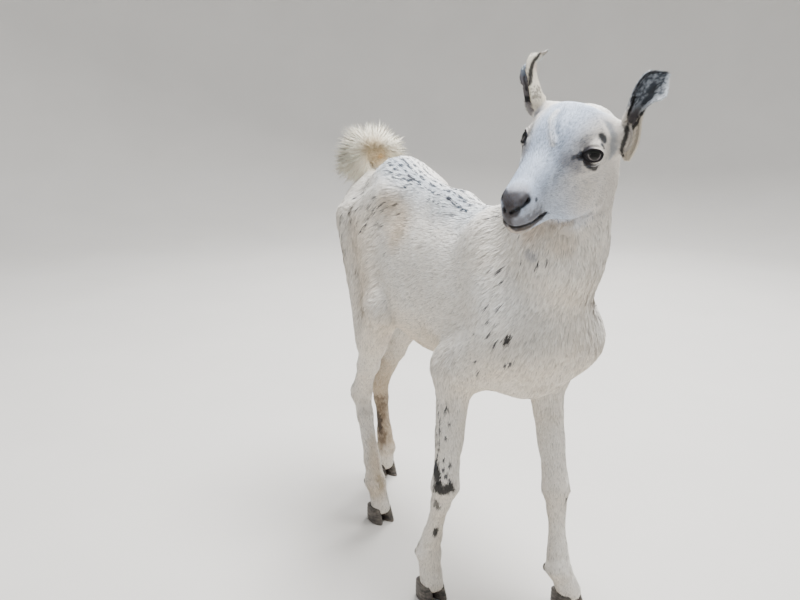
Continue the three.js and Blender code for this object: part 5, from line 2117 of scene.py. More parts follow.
class Markings:
    """The coat's colours at any place of the skin, with its marks, painted shade and painted light, the same
    for skin and tufts.
    """

    def __init__(self, skin: Skin, surface: Surface, lie: np.ndarray, colours: CoatColours) -> None:
        """Strew the flecks over the skin.

        Args:
            skin: the animal's skin.
            surface: its mesh.
            lie: how the hair lies at each vertex.
            colours: the ground colours.
        """
        self.skin, self.colours = skin, colours
        rng = np.random.default_rng(11)
        self.flecks = []
        for band in FLECK_BANDS:
            line = curve_points(np.array(band.path, float), 200)
            place = line[rng.integers(0, 200, band.count)] + rng.normal(0, band.spread, (band.count, 3))
            middle = np.array([band.half_length, FLECK_WIDENING * band.half_width])
            sizes = middle * rng.uniform(0.55, 1.35, (band.count, 2))
            strength = band.strength * rng.uniform(0.6, 1.1, band.count)
            self.add_flecks(surface, lie, place, sizes, linear(band.colour), strength)
        rows = np.array(PLACED_FLECKS)
        self.add_flecks(surface, lie, rows[:, :3], rows[:, 3:], linear(CHARCOAL), np.full(len(rows), 0.9))

    def add_flecks(
        self,
        surface: Surface,
        lie: np.ndarray,
        place: np.ndarray,
        sizes: np.ndarray,
        colour: np.ndarray,
        strength: np.ndarray,
    ) -> None:
        """Snap flecks to the skin and turn each along the hair.

        Args:
            surface: the skin's mesh.
            lie: how the hair lies at each vertex.
            place: wished places in millimetres.
            sizes: half length and half width of each, in millimetres.
            colour: their linear colour.
            strength: how strongly each shows.
        """
        wished = (place + BODY_ORIGIN) * MM
        for point, size, power in zip(wished, sizes, strength):
            nearest = ((surface.vertices - point) ** 2).sum(axis=1).argmin()
            self.flecks.append((surface.vertices[nearest], lie[nearest], size * MM, colour, min(power, 1.0)))

    def colours_at(self, points: np.ndarray, normals: np.ndarray) -> np.ndarray:
        """Return linear colours at places of the skin.

        Args:
            points: places in metres.
            normals: the skin's normals there.

        Returns:
            The ground colours, then body patches, flecks, head patches and ears laid over them.
        """
        colours = self.colours
        soft = value_noise(points, 42 * MM, 3)
        fine = value_noise(points, 9 * MM, 4)
        ragged = 0.6 * value_noise(points, 3.2 * MM, 5) + 0.4 * fine
        # painted shade: the coat turns cream where the skin faces down; the noise adds a cream tint at random
        under = smooth_step(0.35, -0.85, normals[:, 2])
        cream = np.clip(0.22 + 0.62 * under + 0.22 * soft + 0.10 * fine, 0.0, 1.0)[:, None]
        tones = linear(colours.white) * (1 - cream) + linear(colours.cream) * cream
        body_mm = points / MM - BODY_ORIGIN
        for patch in BODY_PATCHES:
            share = patch.share_at(body_mm, ragged)[:, None]
            tones = tones * (1 - share) + linear(patch.colour) * share
        for place, way, size, colour, power in self.flecks:
            near = np.flatnonzero((np.abs(points - place) < size[0] * 1.4).all(axis=1))
            offset = points[near] - place
            along = offset @ way
            across = np.sqrt(np.maximum((offset**2).sum(axis=1) - along**2, 0.0))
            taper = np.hypot(along / size[0], across / size[1])
            share = (power * smooth_step(1.25, 0.75, taper + 0.25 * ragged[near]))[:, None]
            tones[near] = tones[near] * (1 - share) + colour * share
        tones = self.head_colours(points, tones, ragged)
        tones = self.ear_colours(points, tones, ragged)
        return self.tail_colours(points, tones)

    def head_colours(self, points: np.ndarray, tones: np.ndarray, ragged: np.ndarray) -> np.ndarray:
        """Return the colours with the face's ground, its marks, painted shade and painted light, and eye rims
        laid over them.
        """
        colours, local = self.colours, HEAD.local(points)
        head = self.skin.head_share(points)[:, None]
        middle = smooth_step(34, 12, np.abs(local[:, 1]))[:, None]
        face = linear(colours.cheek) * (1 - middle) + linear(colours.face) * middle
        tones = tones * (1 - head) + face * head
        near_head = local[:, 0] > -20
        for patch in HEAD_PATCHES:
            share = (patch.share_at(local, ragged) * near_head)[:, None]
            tones = tones * (1 - share) + linear(patch.colour) * share
        for eye in self.skin.eyes:
            inside = eye.depth_inside(eye.local(points))
            rim = smooth_step(-0.19, -0.09, inside + 0.04 * ragged)[:, None]
            tones = tones * (1 - rim) + linear(colours.eye_rim) * rim
        return tones

    def ear_colours(self, points: np.ndarray, tones: np.ndarray, ragged: np.ndarray) -> np.ndarray:
        """Return the colours with the ears' marks, and painted shade in the right ear's hollow, laid over
        them.
        """
        for ear, patches in zip(self.skin.ears, (LEFT_EAR_PATCHES, RIGHT_EAR_PATCHES)):
            near = np.flatnonzero(ear.near(points))
            share, turn, inner = ear.place(points[near])
            flat = np.stack([80.0 * share, 14.0 * turn, 6.0 * (1.0 - inner)], axis=1)
            speckle = 0.3 * ragged[near] + 0.7 * value_noise(points[near], 1.3 * MM, 6)
            blade = smooth_step(0.25, 0.6, self.skin.ear_share(points[near]))
            for patch in patches:
                strength = (patch.share_at(flat, speckle) * blade)[:, None]
                tones[near] = tones[near] * (1 - strength) + linear(patch.colour) * strength
        return tones

    def tail_colours(self, points: np.ndarray, tones: np.ndarray) -> np.ndarray:
        """Return the colours with the tail's cream and its hollow, brown-yellow by its skin and by painted
        shade, laid over them.
        """
        tail, colours = self.skin.tail, self.colours
        local = tail.local(points)
        share = self.skin.tail_share(points)[:, None]
        tones = tones * (1 - share) + linear(colours.tail) * share
        ragged = value_noise(points, 3.2 * MM, 5)
        flat = local * [1, 1, 0.3]
        for patch in TAIL_PATCHES:
            strength = patch.share_at(flat, ragged)[:, None] * smooth_step(0.25, 0.6, share)
            tones = tones * (1 - strength) + linear(patch.colour) * strength
        return tones

    def stipple_at(self, points: np.ndarray) -> np.ndarray:
        """Return the share of dark hairs at places: most along the middle of the face."""
        local = HEAD.local(points)
        head = self.skin.head_share(points)
        middle = smooth_step(30, 8, np.abs(local[:, 1] - 2)) * smooth_step(8, 40, local[:, 0])
        chin = smooth_step(-46, -54, local[:, 2]) * smooth_step(115, 135, local[:, 0])
        sides = smooth_step(46, 30, np.abs(local[:, 1])) * smooth_step(15, 40, local[:, 0])
        upper = smooth_step(-34, -8, local[:, 2])
        return head * np.maximum(0.38 * middle * upper + 0.20 * sides, 0.45 * chin)


# ---- Coat -------------------------------------------------------------------------------------


@dataclass(frozen=True)
class Growth:
    """How tufts grow on a part: length and width in millimetres, lift in degrees, number per mm²."""

    length: float
    width: float
    lift: float
    number: float

    def row(self) -> np.ndarray:
        """Return the growth as one row of numbers."""
        return np.array([self.length, self.width, self.lift, self.number])


BODY_GROWTH = Growth(13.5, 1.7, 7.0, 0.55)
LEG_GROWTH = Growth(8.0, 1.2, 7.5, 0.85)
FACE_GROWTH = Growth(5.0, 0.8, 10.0, 3.6)
MUZZLE_GROWTH = Growth(2.4, 0.55, 13.0, 4.0)
EAR_GROWTH = Growth(4.8, 0.8, 12.0, 1.7)


@dataclass(frozen=True)
class Panel:
    """A panel of the flat map of the skin: a line through a part and a window of the map."""

    line: np.ndarray
    across: np.ndarray
    window: tuple[float, float, float, float]

    def place(self, points: np.ndarray) -> np.ndarray:
        """Return map places: the angle about the line runs across the window, the way along it up."""
        along = path_distance(points, self.line)[1]
        at = along * (len(self.line) - 1)
        low = np.minimum(at.astype(int), len(self.line) - 2)
        way = self.line[low + 1] - self.line[low]
        offset = points - self.line[low] - way * (at - low)[:, None]
        third = np.cross(unit(way), self.across)
        angle = np.arctan2((offset * third).sum(axis=1), offset @ self.across) / (2 * np.pi) + 0.5
        left, right, bottom, top = self.window
        return np.stack([left + angle * (right - left), bottom + along * (top - bottom)], axis=1)


class FlatMap:
    """An unwrap of the skin's own shape: a panel for each part, and two for each ear."""

    MAP_NAME = "OFBake"
    PATCH = 0.0015
    TRUNK_WINDOW = (0.01, 0.49, 0.01, 0.99)
    HEAD_WINDOW = (0.51, 0.74, 0.51, 0.99)
    TAIL_WINDOW = (0.51, 0.74, 0.01, 0.24)
    LEG_CORNERS = ((0.76, 0.51), (0.88, 0.51), (0.76, 0.01), (0.88, 0.01))
    LEG_SIZE = (0.11, 0.48)
    EAR_LEFTS = (0.51, 0.63)
    EAR_SIZE = 0.11

    def __init__(self, skin: Skin) -> None:
        """Lay out the panels."""
        self.skin = skin
        spine = curve_points(np.array(skin.trunk.spine, float)[:, :3], 40)
        trunk = Panel((spine + BODY_ORIGIN) * MM, LEFTWARD, self.TRUNK_WINDOW)
        head_line = HEAD.points(curve_points(np.array(skin.head.middle_line, float), 12))
        head = Panel(head_line, HEAD.axes()[1], self.HEAD_WINDOW)
        tail_line = curve_points(np.array([skin.tail.point(lean, up) for lean, up, _ in skin.tail.curl]), 16)
        tail = Panel(tail_line, skin.tail.flat_way(), self.TAIL_WINDOW)
        width, height = self.LEG_SIZE
        legs = [
            Panel(leg.line(), FORWARD, (left, left + width, bottom, bottom + height))
            for leg, (left, bottom) in zip(LEGS.values(), self.LEG_CORNERS)
        ]
        self.panels = [trunk, *legs, head, tail]

    def place(self, points: np.ndarray, part: np.ndarray) -> np.ndarray:
        """Return each point's place on the map.

        Args:
            points: places of the skin.
            part: index of the part that each belongs to, as Skin.part_at gives it.

        Returns:
            One pair per point, inside the window of its part.
        """
        flat = np.zeros((len(points), 2))
        for index, panel in enumerate(self.panels):
            own = np.flatnonzero(part == index)
            if len(own):
                flat[own] = panel.place(points[own])
        for ear, left in zip(self.skin.ears, self.EAR_LEFTS):
            own = np.flatnonzero(ear.near(points) & (self.skin.ear_share(points) > 0.4))
            share, turn, inner = ear.place(points[own])
            flat[own, 0] = left + self.EAR_SIZE * (turn.clip(-1.1, 1.1) / 2.2 + 0.5)
            flat[own, 1] = np.where(inner > 0.5, 0.26, 0.38) + self.EAR_SIZE * share
        return flat


@dataclass
class Roots:
    """Where tufts grow, one row per tuft."""

    place: np.ndarray
    normal: np.ndarray
    lie: np.ndarray
    bend: np.ndarray
    growth: np.ndarray
    part: np.ndarray

    def picked(self, keep: np.ndarray) -> Roots:
        """Return some of the roots."""
        return Roots(*(rows[keep] for rows in vars(self).values()))


@dataclass
class Tufts:
    """Tufts as joined mesh, with their tones and their patches of the flat map."""

    surface: Surface
    normals: np.ndarray
    tones: np.ndarray
    flat: np.ndarray

    def build(self, name: str, material: bpy.types.Material, slot: str) -> bpy.types.Object:
        """Build the piece with its normals, tones and map."""
        mesh = self.surface.to_mesh(name)
        paint(mesh, self.tones)
        normal = mesh.attributes.new("custom_normal", "FLOAT_VECTOR", "POINT")
        normal.data.foreach_set("vector", self.normals.astype(np.float32).ravel())
        layer = mesh.uv_layers.new(name=FlatMap.MAP_NAME)
        corner = self.surface.triangles.ravel()
        layer.data.foreach_set("uv", self.flat[corner].astype(np.float32).ravel())
        return new_piece(name, mesh, material)


def blade_faces(count: int, joints: int) -> np.ndarray:
    """Return the triangles of a number of blades: a strip of pairs that ends in a tip."""
    faces = []
    for left in range(0, 2 * joints - 2, 2):
        faces += [(left + 1, left + 3, left + 2), (left + 1, left + 2, left)]
    faces.append((2 * joints - 1, 2 * joints, 2 * joints - 2))
    return (np.array(faces)[None] + np.arange(count)[:, None, None] * (2 * joints + 1)).reshape(-1, 3)


def map_square(joints: int) -> np.ndarray:
    """Return where one blade's points lie in its own small square of the flat map."""
    shares = np.linspace(-1.0, 1.0, joints + 1)[:-1]
    return np.array([(side, share) for share in shares for side in (-1, 1)] + [(0, 1)]) * FlatMap.PATCH


def blades(
    roots: Roots, turn: np.ndarray, roll: np.ndarray, joints: int
) -> tuple[Surface, np.ndarray, np.ndarray]:
    """Make thin tapering blades that lie along the skin.

    Args:
        roots: where they grow; growth holds length and width in metres and lift in radians.
        turn: how far each is turned about its normal, in radians.
        roll: how far each is rolled about its own length, in radians.
        joints: pairs of points before the tip.

    Returns:
        The mesh, its normals and each vertex's share of the blade's length.  A blade follows the
        lie, rises by its lift, and falls with the skin by half its bend times its length squared.
    """
    count = len(roots.place)
    length, width, lift = roots.growth.T
    side = np.cross(roots.normal, roots.lie)
    ahead = roots.lie * np.cos(turn)[:, None] + side * np.sin(turn)[:, None]
    side = np.cross(roots.normal, ahead)
    rolled = side * np.cos(roll)[:, None] + roots.normal * np.sin(roll)[:, None]
    shares = np.linspace(0.0, 1.0, joints + 1)
    vertices = np.zeros((count, 2 * joints + 1, 3))
    normals = np.zeros_like(vertices)
    for level, share in enumerate(shares):
        run = length * share
        rise = run * np.sin(lift) * (1 - 0.35 * share) - roots.bend * run**2 / 2 - 0.35 * MM * (1 - share)
        middle = roots.place + ahead * run[:, None] + roots.normal * rise[:, None]
        normal = unit(roots.normal + ahead * (roots.bend * run - 0.35 * np.sin(lift))[:, None])
        if level == joints:
            vertices[:, -1], normals[:, -1] = middle, normal
            continue
        half = width / 2 * (0.75, 1.0, 0.8)[min(level, 2)]
        for column, sign in ((2 * level, 1), (2 * level + 1, -1)):
            vertices[:, column] = middle + rolled * (half * sign)[:, None]
            normals[:, column] = unit(normal + rolled * (0.35 * sign) - np.sin(roll)[:, None] * side * 0.6)
    along = np.tile(np.repeat(shares, [2] * joints + [1]), count)
    return Surface(vertices.reshape(-1, 3), blade_faces(count, joints)), normals.reshape(-1, 3), along


@dataclass
class Coat:
    """The coat of short tufts over the whole skin.

    Tufts differ in tone by the clumping, some are darker as painted shadow between tufts,
    and each goes from painted shade at its root to painted light at its tip.
    """

    skin: Skin
    surface: Surface
    lie: np.ndarray
    markings: Markings
    flat_map: FlatMap
    clumping: float = 0.08
    # a share of tufts is darker, painted shadow between them
    shadow_tuft_darkening: float = 0.24
    shadow_tuft_share: float = 0.15
    # painted shade at each tuft's root and painted light at its tip
    painted_root_shade: float = 0.60
    painted_tip_light: float = 1.07
    seed: int = 5
    most_faces: int = 190_000

    def growth_at(self, points: np.ndarray) -> np.ndarray:
        """Return length, width, lift and number of tufts at places: parts blended into one another."""
        height = points[:, 2] / MM
        local = HEAD.local(points)
        leg = smooth_step(335, 230, height)[:, None]
        rows = BODY_GROWTH.row() * (1 - leg) + LEG_GROWTH.row() * leg
        head = self.skin.head_share(points)[:, None]
        rows = rows * (1 - head) + FACE_GROWTH.row() * head
        muzzle = head * smooth_step(128, 152, local[:, 0])[:, None]
        rows = rows * (1 - muzzle) + MUZZLE_GROWTH.row() * muzzle
        ear = self.skin.ear_share(points)[:, None]
        return rows * (1 - ear) + EAR_GROWTH.row() * ear

    def bends(self) -> np.ndarray:
        """Return how fast the skin turns away along the lie at each vertex, from its edges."""
        points, normals = self.surface.vertices, vertex_normals(self.surface)
        edges = edge_pairs(self.surface.triangles)
        span = points[edges[:, 1]] - points[edges[:, 0]]
        square = (span**2).sum(axis=1)
        curve = ((normals[edges[:, 1]] - normals[edges[:, 0]]) * span).sum(axis=1) / square
        total, weight = np.zeros(len(points)), np.full(len(points), 1e-9)
        for end in (0, 1):
            along = (span * self.lie[edges[:, end]]).sum(axis=1) ** 2 / square
            total += np.bincount(edges[:, end], along * curve, len(points))
            weight += np.bincount(edges[:, end], along, len(points))
        bend = relax((total / weight)[:, None], edges, 4, 0.6)[:, 0]
        return bend.clip(-30.0, 60.0)

    def roots(self, rng: np.random.Generator) -> Roots:
        """Scatter roots over the skin.

        Args:
            rng: the seeded source of chance.

        Returns:
            Roots with the corners' values blended, none inside the eyes' openings or the hooves.
        """
        points, triangles = self.surface.vertices, self.surface.triangles
        growth, normals = self.growth_at(points), vertex_normals(self.surface)
        number = growth[triangles, 3].mean(axis=1) * 1.0
        values = np.hstack([points, normals, self.lie, self.bends()[:, None], growth[:, :3]])
        mixed = scattered(self.surface, triangles, number, values, rng)
        normal = unit(mixed[:, 3:6])
        lie = laid(mixed[:, 6:9], normal)
        scale = np.array([MM, MM * 1.0, np.pi / 180])
        part = self.skin.part_at(mixed[:, :3])
        roots = Roots(mixed[:, :3], normal, lie, mixed[:, 9], mixed[:, 10:13] * scale, part)
        bare = roots.place[:, 2] < 21 * MM
        for eye in self.skin.eyes:
            local = eye.local(roots.place)
            ahead = (np.linalg.norm(local, axis=1) < 1.9) & (local[:, 2] > 0)
            bare |= (eye.depth_inside(local) > -0.10) & ahead
        return roots.picked(~bare & (self.skin.tail_share(roots.place) < 0.85))

    def build(self, material: bpy.types.Material) -> list[bpy.types.Object]:
        """Build the coat's pieces: body and legs of three faces a tuft, face and ears of one.

        Args:
            material: the hair's finish.

        Returns:
            The pieces.
        """
        rng = np.random.default_rng(self.seed)
        roots = self.roots(rng)
        fine = roots.growth[:, 0] < 5.6 * MM
        LOG.info("coat: %d long tufts and %d short ones", int((~fine).sum()), int(fine.sum()))
        made = []
        for name, group, joints in (("coat_body", ~fine, 2), ("coat_face", fine, 1)):
            own = roots.picked(group)
            own = own.picked(np.argsort(own.part, kind="stable"))
            each = self.most_faces // (2 * joints - 1)
            for number, start in enumerate(range(0, len(own.place), each)):
                batch = own.picked(slice(start, start + each))
                tufts = self.tufts(batch, joints, rng)
                made.append(tufts.build(f"{name}_{number + 1}", material, "coat_white"))
                LOG.info("%s: %d triangles", made[-1].name, len(tufts.surface.triangles))
        return made

    def tufts(self, roots: Roots, joints: int, rng: np.random.Generator) -> Tufts:
        """Grow tufts from roots.

        Args:
            roots: where they grow.
            joints: pairs of points before the tip of each.
            rng: the seeded source of chance.

        Returns:
            The tufts: turned by chance and by two sizes of swirl, each in the colour of the skin
            under its outer half, with painted shade at the root and painted light at the tip.
        """
        count = len(roots.place)
        swirl = 11 * value_noise(roots.place, 34 * MM, 21) + 5 * value_noise(roots.place, 7 * MM, 22)
        turn = np.radians(swirl + rng.normal(0, 6, count))
        # chance in length, width and lift
        spans = ((0.7, 1.15), (0.7, 1.2), (0.5, 1.5))
        roots.growth = roots.growth * np.stack([rng.uniform(low, high, count) for low, high in spans], axis=1)
        roll = np.radians(rng.normal(0, 11, count))
        surface, normals, along = blades(roots, turn, roll, joints)
        run = roots.growth[:, 0] * 0.65
        shown = roots.place + roots.lie * run[:, None] - roots.normal * (roots.bend * run**2 / 2)[:, None]
        tones = self.markings.colours_at(shown, unit(roots.normal + roots.lie * (roots.bend * run)[:, None]))
        dark = (rng.random(count) < self.markings.stipple_at(shown))[:, None]
        tones = np.where(dark, tones * 0.3 + linear(self.markings.colours.stipple) * 0.7, tones)
        clump = 1 + self.clumping * value_noise(shown, 3.0 * MM, 23) + rng.normal(0, self.clumping, count)
        # painted shadow between tufts: a share of them made darker
        clump *= 1 - self.shadow_tuft_darkening * (rng.random(count) < self.shadow_tuft_share)
        tones = tones * clump[:, None]
        each = 2 * joints + 1
        # painted shade at the root, rising to painted light at the tip
        shade = self.painted_root_shade + (self.painted_tip_light - self.painted_root_shade) * along
        tones = (np.repeat(tones, each, axis=0) * shade[:, None]).clip(0.0, 0.95)
        flat = np.repeat(self.flat_map.place(roots.place, roots.part), each, axis=0)
        flat += np.tile(map_square(joints), (count, 1))
        return Tufts(surface, normals, tones, flat)


@dataclass
class TailHair:
    """The tail's long hair: fine strands that spread from the curl, and a mat across its hollow.

    A plume is how much longer the hair is, in millimetres, at an angle about the hollow, and how
    wide the plume is: behind, above, below and ahead.
    """

    skin: Skin
    surface: Surface
    markings: Markings
    flat_map: FlatMap
    number: float = 1.9
    width: float = 0.85
    shortest: float = 19.0
    plumes: tuple = ((16, 2.75, 0.8), (9, 1.6, 0.7), (10, -2.4, 0.6), (6, 0.3, 0.7))
    mat_strands: int = 3600
    mat_radius: float = 19.0
    joints: int = 3
    seed: int = 9

    def length_at(self, angle: np.ndarray) -> np.ndarray:
        """Return the hair's length in millimetres by its angle about the hollow: a bell for each plume."""
        length = self.shortest
        for more, middle, width in self.plumes:
            length = length + more * bell(np.angle(np.exp(1j * (angle - middle))), width)
        return length

    def fluff(self, rng: np.random.Generator) -> tuple[np.ndarray, ...]:
        """Root strands all over the tail, each leaving along the skin and away from the hollow.

        Args:
            rng: the seeded source of chance.

        Returns:
            Roots, ways, lengths and shading normals.
        """
        tail = self.skin.tail
        triangles = self.surface.triangles
        own = triangles[self.skin.tail_share(self.surface.vertices)[triangles].mean(axis=1) > 0.55]
        number = self.number * 1.0
        values = np.hstack([self.surface.vertices, vertex_normals(self.surface)])
        mixed = scattered(self.surface, own, number, values, rng)
        place, normal = mixed[:, :3], unit(mixed[:, 3:])
        lean, up, _ = tail.local(place).T
        angle = np.arctan2(up - tail.hollow[1], lean - tail.hollow[0])
        radial = np.cos(angle)[:, None] * tail.lean_way() + np.sin(angle)[:, None] * UP
        lock = np.radians(24 * value_noise(place, 7 * MM, 31))[:, None]
        round_way = np.stack([-np.sin(angle), np.cos(angle)], axis=1) @ np.array([tail.lean_way(), UP])
        bent = radial + round_way * lock
        way = unit(bent + 0.42 * normal + rng.normal(0, 0.09, (len(place), 3)))
        length = self.length_at(angle) * rng.uniform(0.45, 1.1, len(place)) * MM
        return place, way, length, unit(0.7 * normal + 0.5 * radial + 0.2 * UP)

    def mat(self, rng: np.random.Generator) -> tuple[np.ndarray, ...]:
        """Root short strands round the hollow's edge, each leaning across it to either side.

        Args:
            rng: the seeded source of chance.

        Returns:
            Roots, ways, lengths and shading normals.
        """
        tail = self.skin.tail
        count = int(self.mat_strands * (1.0))
        angle = rng.uniform(0, 2 * np.pi, count)
        side = np.where(rng.random(count) < 0.7, -1.0, 1.0)
        reach = self.mat_radius * rng.uniform(0.85, 1.05, count)
        lean, up = tail.hollow
        start = np.stack([lean + reach * np.cos(angle), up - 3 + reach * np.sin(angle)], axis=1)
        goal = np.array(tail.hollow) + rng.normal(0, 6.0, (count, 2))
        starts = np.column_stack([start, side * rng.uniform(0, 4, count)])
        goals = np.column_stack([goal, side * rng.uniform(3, 9, count)])
        place, end = (np.array([tail.point(*row) for row in rows]) for rows in (starts, goals))
        way = unit(end - place)
        length = np.linalg.norm(end - place, axis=1) * rng.uniform(0.7, 1.15, count)
        toward = side[:, None] * tail.flat_way()
        return place, way, length, unit(toward + 0.25 * UP - 0.3 * way)

    def build(self, material: bpy.types.Material) -> bpy.types.Object:
        """Build the piece.

        Args:
            material: the hair's finish.

        Returns:
            The piece: blades along each strand's way that sag a little and narrow to a tip, in
            the tail's colours at each of their points, with painted shade towards the root.
        """
        rng = np.random.default_rng(self.seed)
        groups = zip(self.fluff(rng), self.mat(rng))
        place, way, length, normal = (np.concatenate(group) for group in groups)
        count, joints, each = len(place), self.joints, 2 * self.joints + 1
        side = unit(np.cross(normal, way) + rng.normal(0, 0.25, (count, 3)))
        width = self.width * MM * rng.uniform(0.6, 1.3, count) * 1.0
        drop = rng.normal(0, 0.09, (count, 3)) - 0.10 * UP
        vertices = np.zeros((count, each, 3))
        shares = np.linspace(0, 1, joints + 1)
        for level, part in enumerate(shares):
            middle = place + way * (length * part)[:, None] + drop * (length * part**2)[:, None]
            half = (width / 2 * (1 - 0.7 * part**1.5))[:, None] * side * (level < joints)
            vertices[:, 2 * level] = middle + half
            if level < joints:
                vertices[:, 2 * level + 1] = middle - half
        offsets = np.tile([*(0.2, -0.2) * joints, 0.0], count)
        shading = unit(np.repeat(normal, each, axis=0) + np.repeat(side, each, axis=0) * offsets[:, None])
        vertices = vertices.reshape(-1, 3)
        along = np.tile(np.repeat(shares, [2] * joints + [1]), count)[:, None]
        ground = np.tile(linear(self.markings.colours.tail), (len(vertices), 1))
        tones = self.markings.tail_colours(vertices, ground)
        # painted shade towards each strand's root, and a tone that differs at random
        tones = tones * (0.92 + 0.12 * along) * np.repeat(1 + rng.normal(0, 0.10, count), each)[:, None]
        flat = np.repeat(self.flat_map.place(place, self.skin.part_at(place)), each, axis=0)
        flat += np.tile(map_square(joints), (count, 1))
        tufts = Tufts(Surface(vertices, blade_faces(count, joints)), shading, tones.clip(0, 0.95), flat)
        return tufts.build("tail_hair", material, "coat_white")


# ---- Studio -----------------------------------------------------------------------------------


@dataclass
class Studio:
    """A plain pale floor, soft light and the camera."""

    floor_dark: str = "C9C6C1"
    floor_pale: str = "D2CFCA"
    sky: str = "D8DFE8"
    sky_strength: float = 0.31
    lens: float = 42.75
    camera_place: tuple[float, float, float] = (1.019, -0.573, 0.658)
    yaw: float = 153.3
    pitch: float = -13.6
    roll: float = 0.53
    floor_reach: float = 2.6
    cove: float = 1.5

    def build(self) -> None:
        """Build floor, lights, world and camera."""
        self.floor()
        self.lights()
        self.camera()

    def floor(self) -> None:
        """Lay a round floor of pale matte plaster that curves up into a low wall all round."""
        bow = np.linspace(0.0, np.pi / 2, 24)
        flat, wall = np.linspace(0.15, 1.0, 12) * self.floor_reach, self.floor_reach + self.cove * np.sin(bow)
        out = np.concatenate([flat, wall])
        up = np.concatenate([np.zeros(12), self.cove * (1 - np.cos(bow))])
        angle = np.linspace(0.0, 2 * np.pi, 96, endpoint=False)
        level = np.repeat(up[:, None], 96, axis=1)
        rings = np.stack([out[:, None] * np.cos(angle), out[:, None] * np.sin(angle), level], axis=-1)
        index = np.arange(rings.shape[0] * 96).reshape(-1, 96)
        ahead = np.roll(index, -1, axis=1)
        quads = np.stack([index[:-1], index[1:], ahead[1:], ahead[:-1]], axis=-1).reshape(-1, 4)
        middle = np.stack([index[0], ahead[0], np.full(96, rings.size // 3)], axis=-1)
        mesh = Surface(np.vstack([rings.reshape(-1, 3), [0, 0, 0]]), middle, quads).to_mesh("floor")
        look = Look("pale_floor")
        place = look.add("ShaderNodeTexCoord")
        # faint clouding, a quarter of a metre across
        cloud = look.add("ShaderNodeTexNoise", Vector=(place, "Object"), Scale=4.0, Detail=3.0)
        tones = {"i6": colour4(self.floor_dark), "i7": colour4(self.floor_pale)}
        tone = look.add("ShaderNodeMix", {"data_type": "RGBA"}, Factor=cloud, **tones)
        look.join(look.shader, "Base Color", (tone, 2))
        look.join(look.shader, "Roughness", 0.85)
        mesh.materials.append(look.material)
        floor = bpy.data.objects.new("floor", mesh)
        bpy.context.scene.collection.objects.link(floor)

    def lights(self) -> None:
        """Hang a broad key light above and ahead, a fill from the right and a low rim behind."""
        rig = (
            ("key", (0.1, 0.4, 2.7), (0.0, 0.0, 0.35), 1.8, 208.0),
            ("fill", (1.6, -2.2, 1.1), (0.05, 0.0, 0.35), 2.0, 7.0),
            ("back", (-1.7, 1.5, 1.9), (0.0, 0.0, 0.4), 1.2, 85.0),
        )
        for name, place, aim, size, power in rig:
            data = bpy.data.lights.new(name, "AREA")
            data.shape, data.size, data.energy = "DISK", size, power
            lamp = bpy.data.objects.new(name, data)
            lamp.location = place
            lamp.rotation_mode = "QUATERNION"
            lamp.rotation_quaternion = facing(np.array(aim) - np.array(place))
            bpy.context.scene.collection.objects.link(lamp)
        world = bpy.data.worlds.new("studio")
        world.use_nodes = True
        sky = world.node_tree.nodes["Background"]
        sky.inputs["Color"].default_value = colour4(self.sky)
        sky.inputs["Strength"].default_value = self.sky_strength
        bpy.context.scene.world = world

    def camera(self) -> None:
        """Set the camera."""
        data = bpy.data.cameras.new("camera")
        data.lens, data.sensor_width = self.lens, 36.0
        camera = bpy.data.objects.new("camera", data)
        camera.location = self.camera_place
        yaw, pitch = np.radians([self.yaw, self.pitch])
        way = np.array([np.cos(yaw) * np.cos(pitch), np.sin(yaw) * np.cos(pitch), np.sin(pitch)])
        camera.rotation_mode = "QUATERNION"
        camera.rotation_quaternion = facing(way, np.radians(self.roll))
        bpy.context.scene.collection.objects.link(camera)
        bpy.context.scene.camera = camera


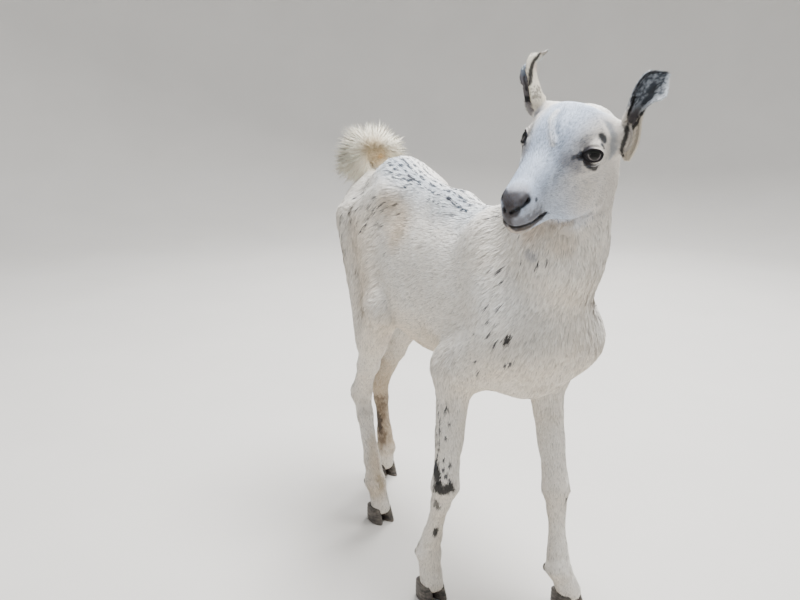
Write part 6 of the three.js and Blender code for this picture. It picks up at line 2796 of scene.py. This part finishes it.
def facing(way: np.ndarray, roll: float = 0.0) -> np.ndarray:
    """Return the turn, as a quaternion, that makes a lamp or camera face a way with +Z kept up.

    Args:
        way: where it looks.
        roll: how far it is then turned about that way, in radians.

    Returns:
        The quaternion, scalar first.
    """
    back = -unit(way)
    right = unit(np.cross(UP, back))
    lift = np.cross(back, right)
    right, lift = right * np.cos(roll) + lift * np.sin(roll), lift * np.cos(roll) - right * np.sin(roll)
    m = np.stack([right, lift, back], axis=1)
    w = np.sqrt(max(1 + m[0, 0] + m[1, 1] + m[2, 2], 1e-9)) / 2
    x = np.sqrt(max(1 + m[0, 0] - m[1, 1] - m[2, 2], 0.0)) / 2 * np.sign(m[2, 1] - m[1, 2])
    y = np.sqrt(max(1 - m[0, 0] + m[1, 1] - m[2, 2], 0.0)) / 2 * np.sign(m[0, 2] - m[2, 0])
    z = np.sqrt(max(1 - m[0, 0] - m[1, 1] + m[2, 2], 0.0)) / 2 * np.sign(m[1, 0] - m[0, 1])
    return np.array([w, x, y, z])


# ---- The whole goat ---------------------------------------------------------------------------


def main() -> None:
    """Build the goat in order and report each piece."""
    logging.basicConfig(level=logging.INFO, format="%(name)s: %(message)s")
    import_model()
    Studio().build()
    # the right eye sits a little flatter in the face than the left
    eyes = (EyeForm(Side.LEFT), EyeForm(Side.RIGHT, (58.0, 27.0, -16.0), outlook=(0.38, 0.86, 0.35)))
    skin = Skin(TrunkForm(), HeadForm(), TailForm(), EARS, eyes)
    shape = skin.build_shape()
    lie = skin.lie_at(shape)
    markings = Markings(skin, shape, lie, CoatColours())
    mesh = shape.to_mesh("skin")
    paint(mesh, markings.colours_at(shape.vertices, vertex_normals(shape)) * 0.9)
    piece = new_piece("skin", mesh, SkinFinish().material())
    flesh_nodes = ["trunk", "neck", "head", "tail", "ear_left", "ear_right"]
    flesh_nodes += [f"leg_{name}" for name in LEGS]
    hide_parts(*flesh_nodes)
    LOG.info("skin: %d triangles", len(shape.triangles))
    hair = HairFinish().material()
    flat_map = FlatMap(skin)
    Coat(skin, shape, lie, markings, flat_map).build(hair)
    tail_hair = TailHair(skin, shape, markings, flat_map).build(hair)
    LOG.info("%s: %d triangles", tail_hair.name, len(tail_hair.data.polygons))
    wet = EyeFinish().material()
    for eye in eyes:
        LOG.info("built %s", Eyeball(eye).build(wet).name)
    LOG.info("built %d claws and dewclaws", len(Feet().build(HornFinish().material())))


if __name__ == "__main__":
    main()
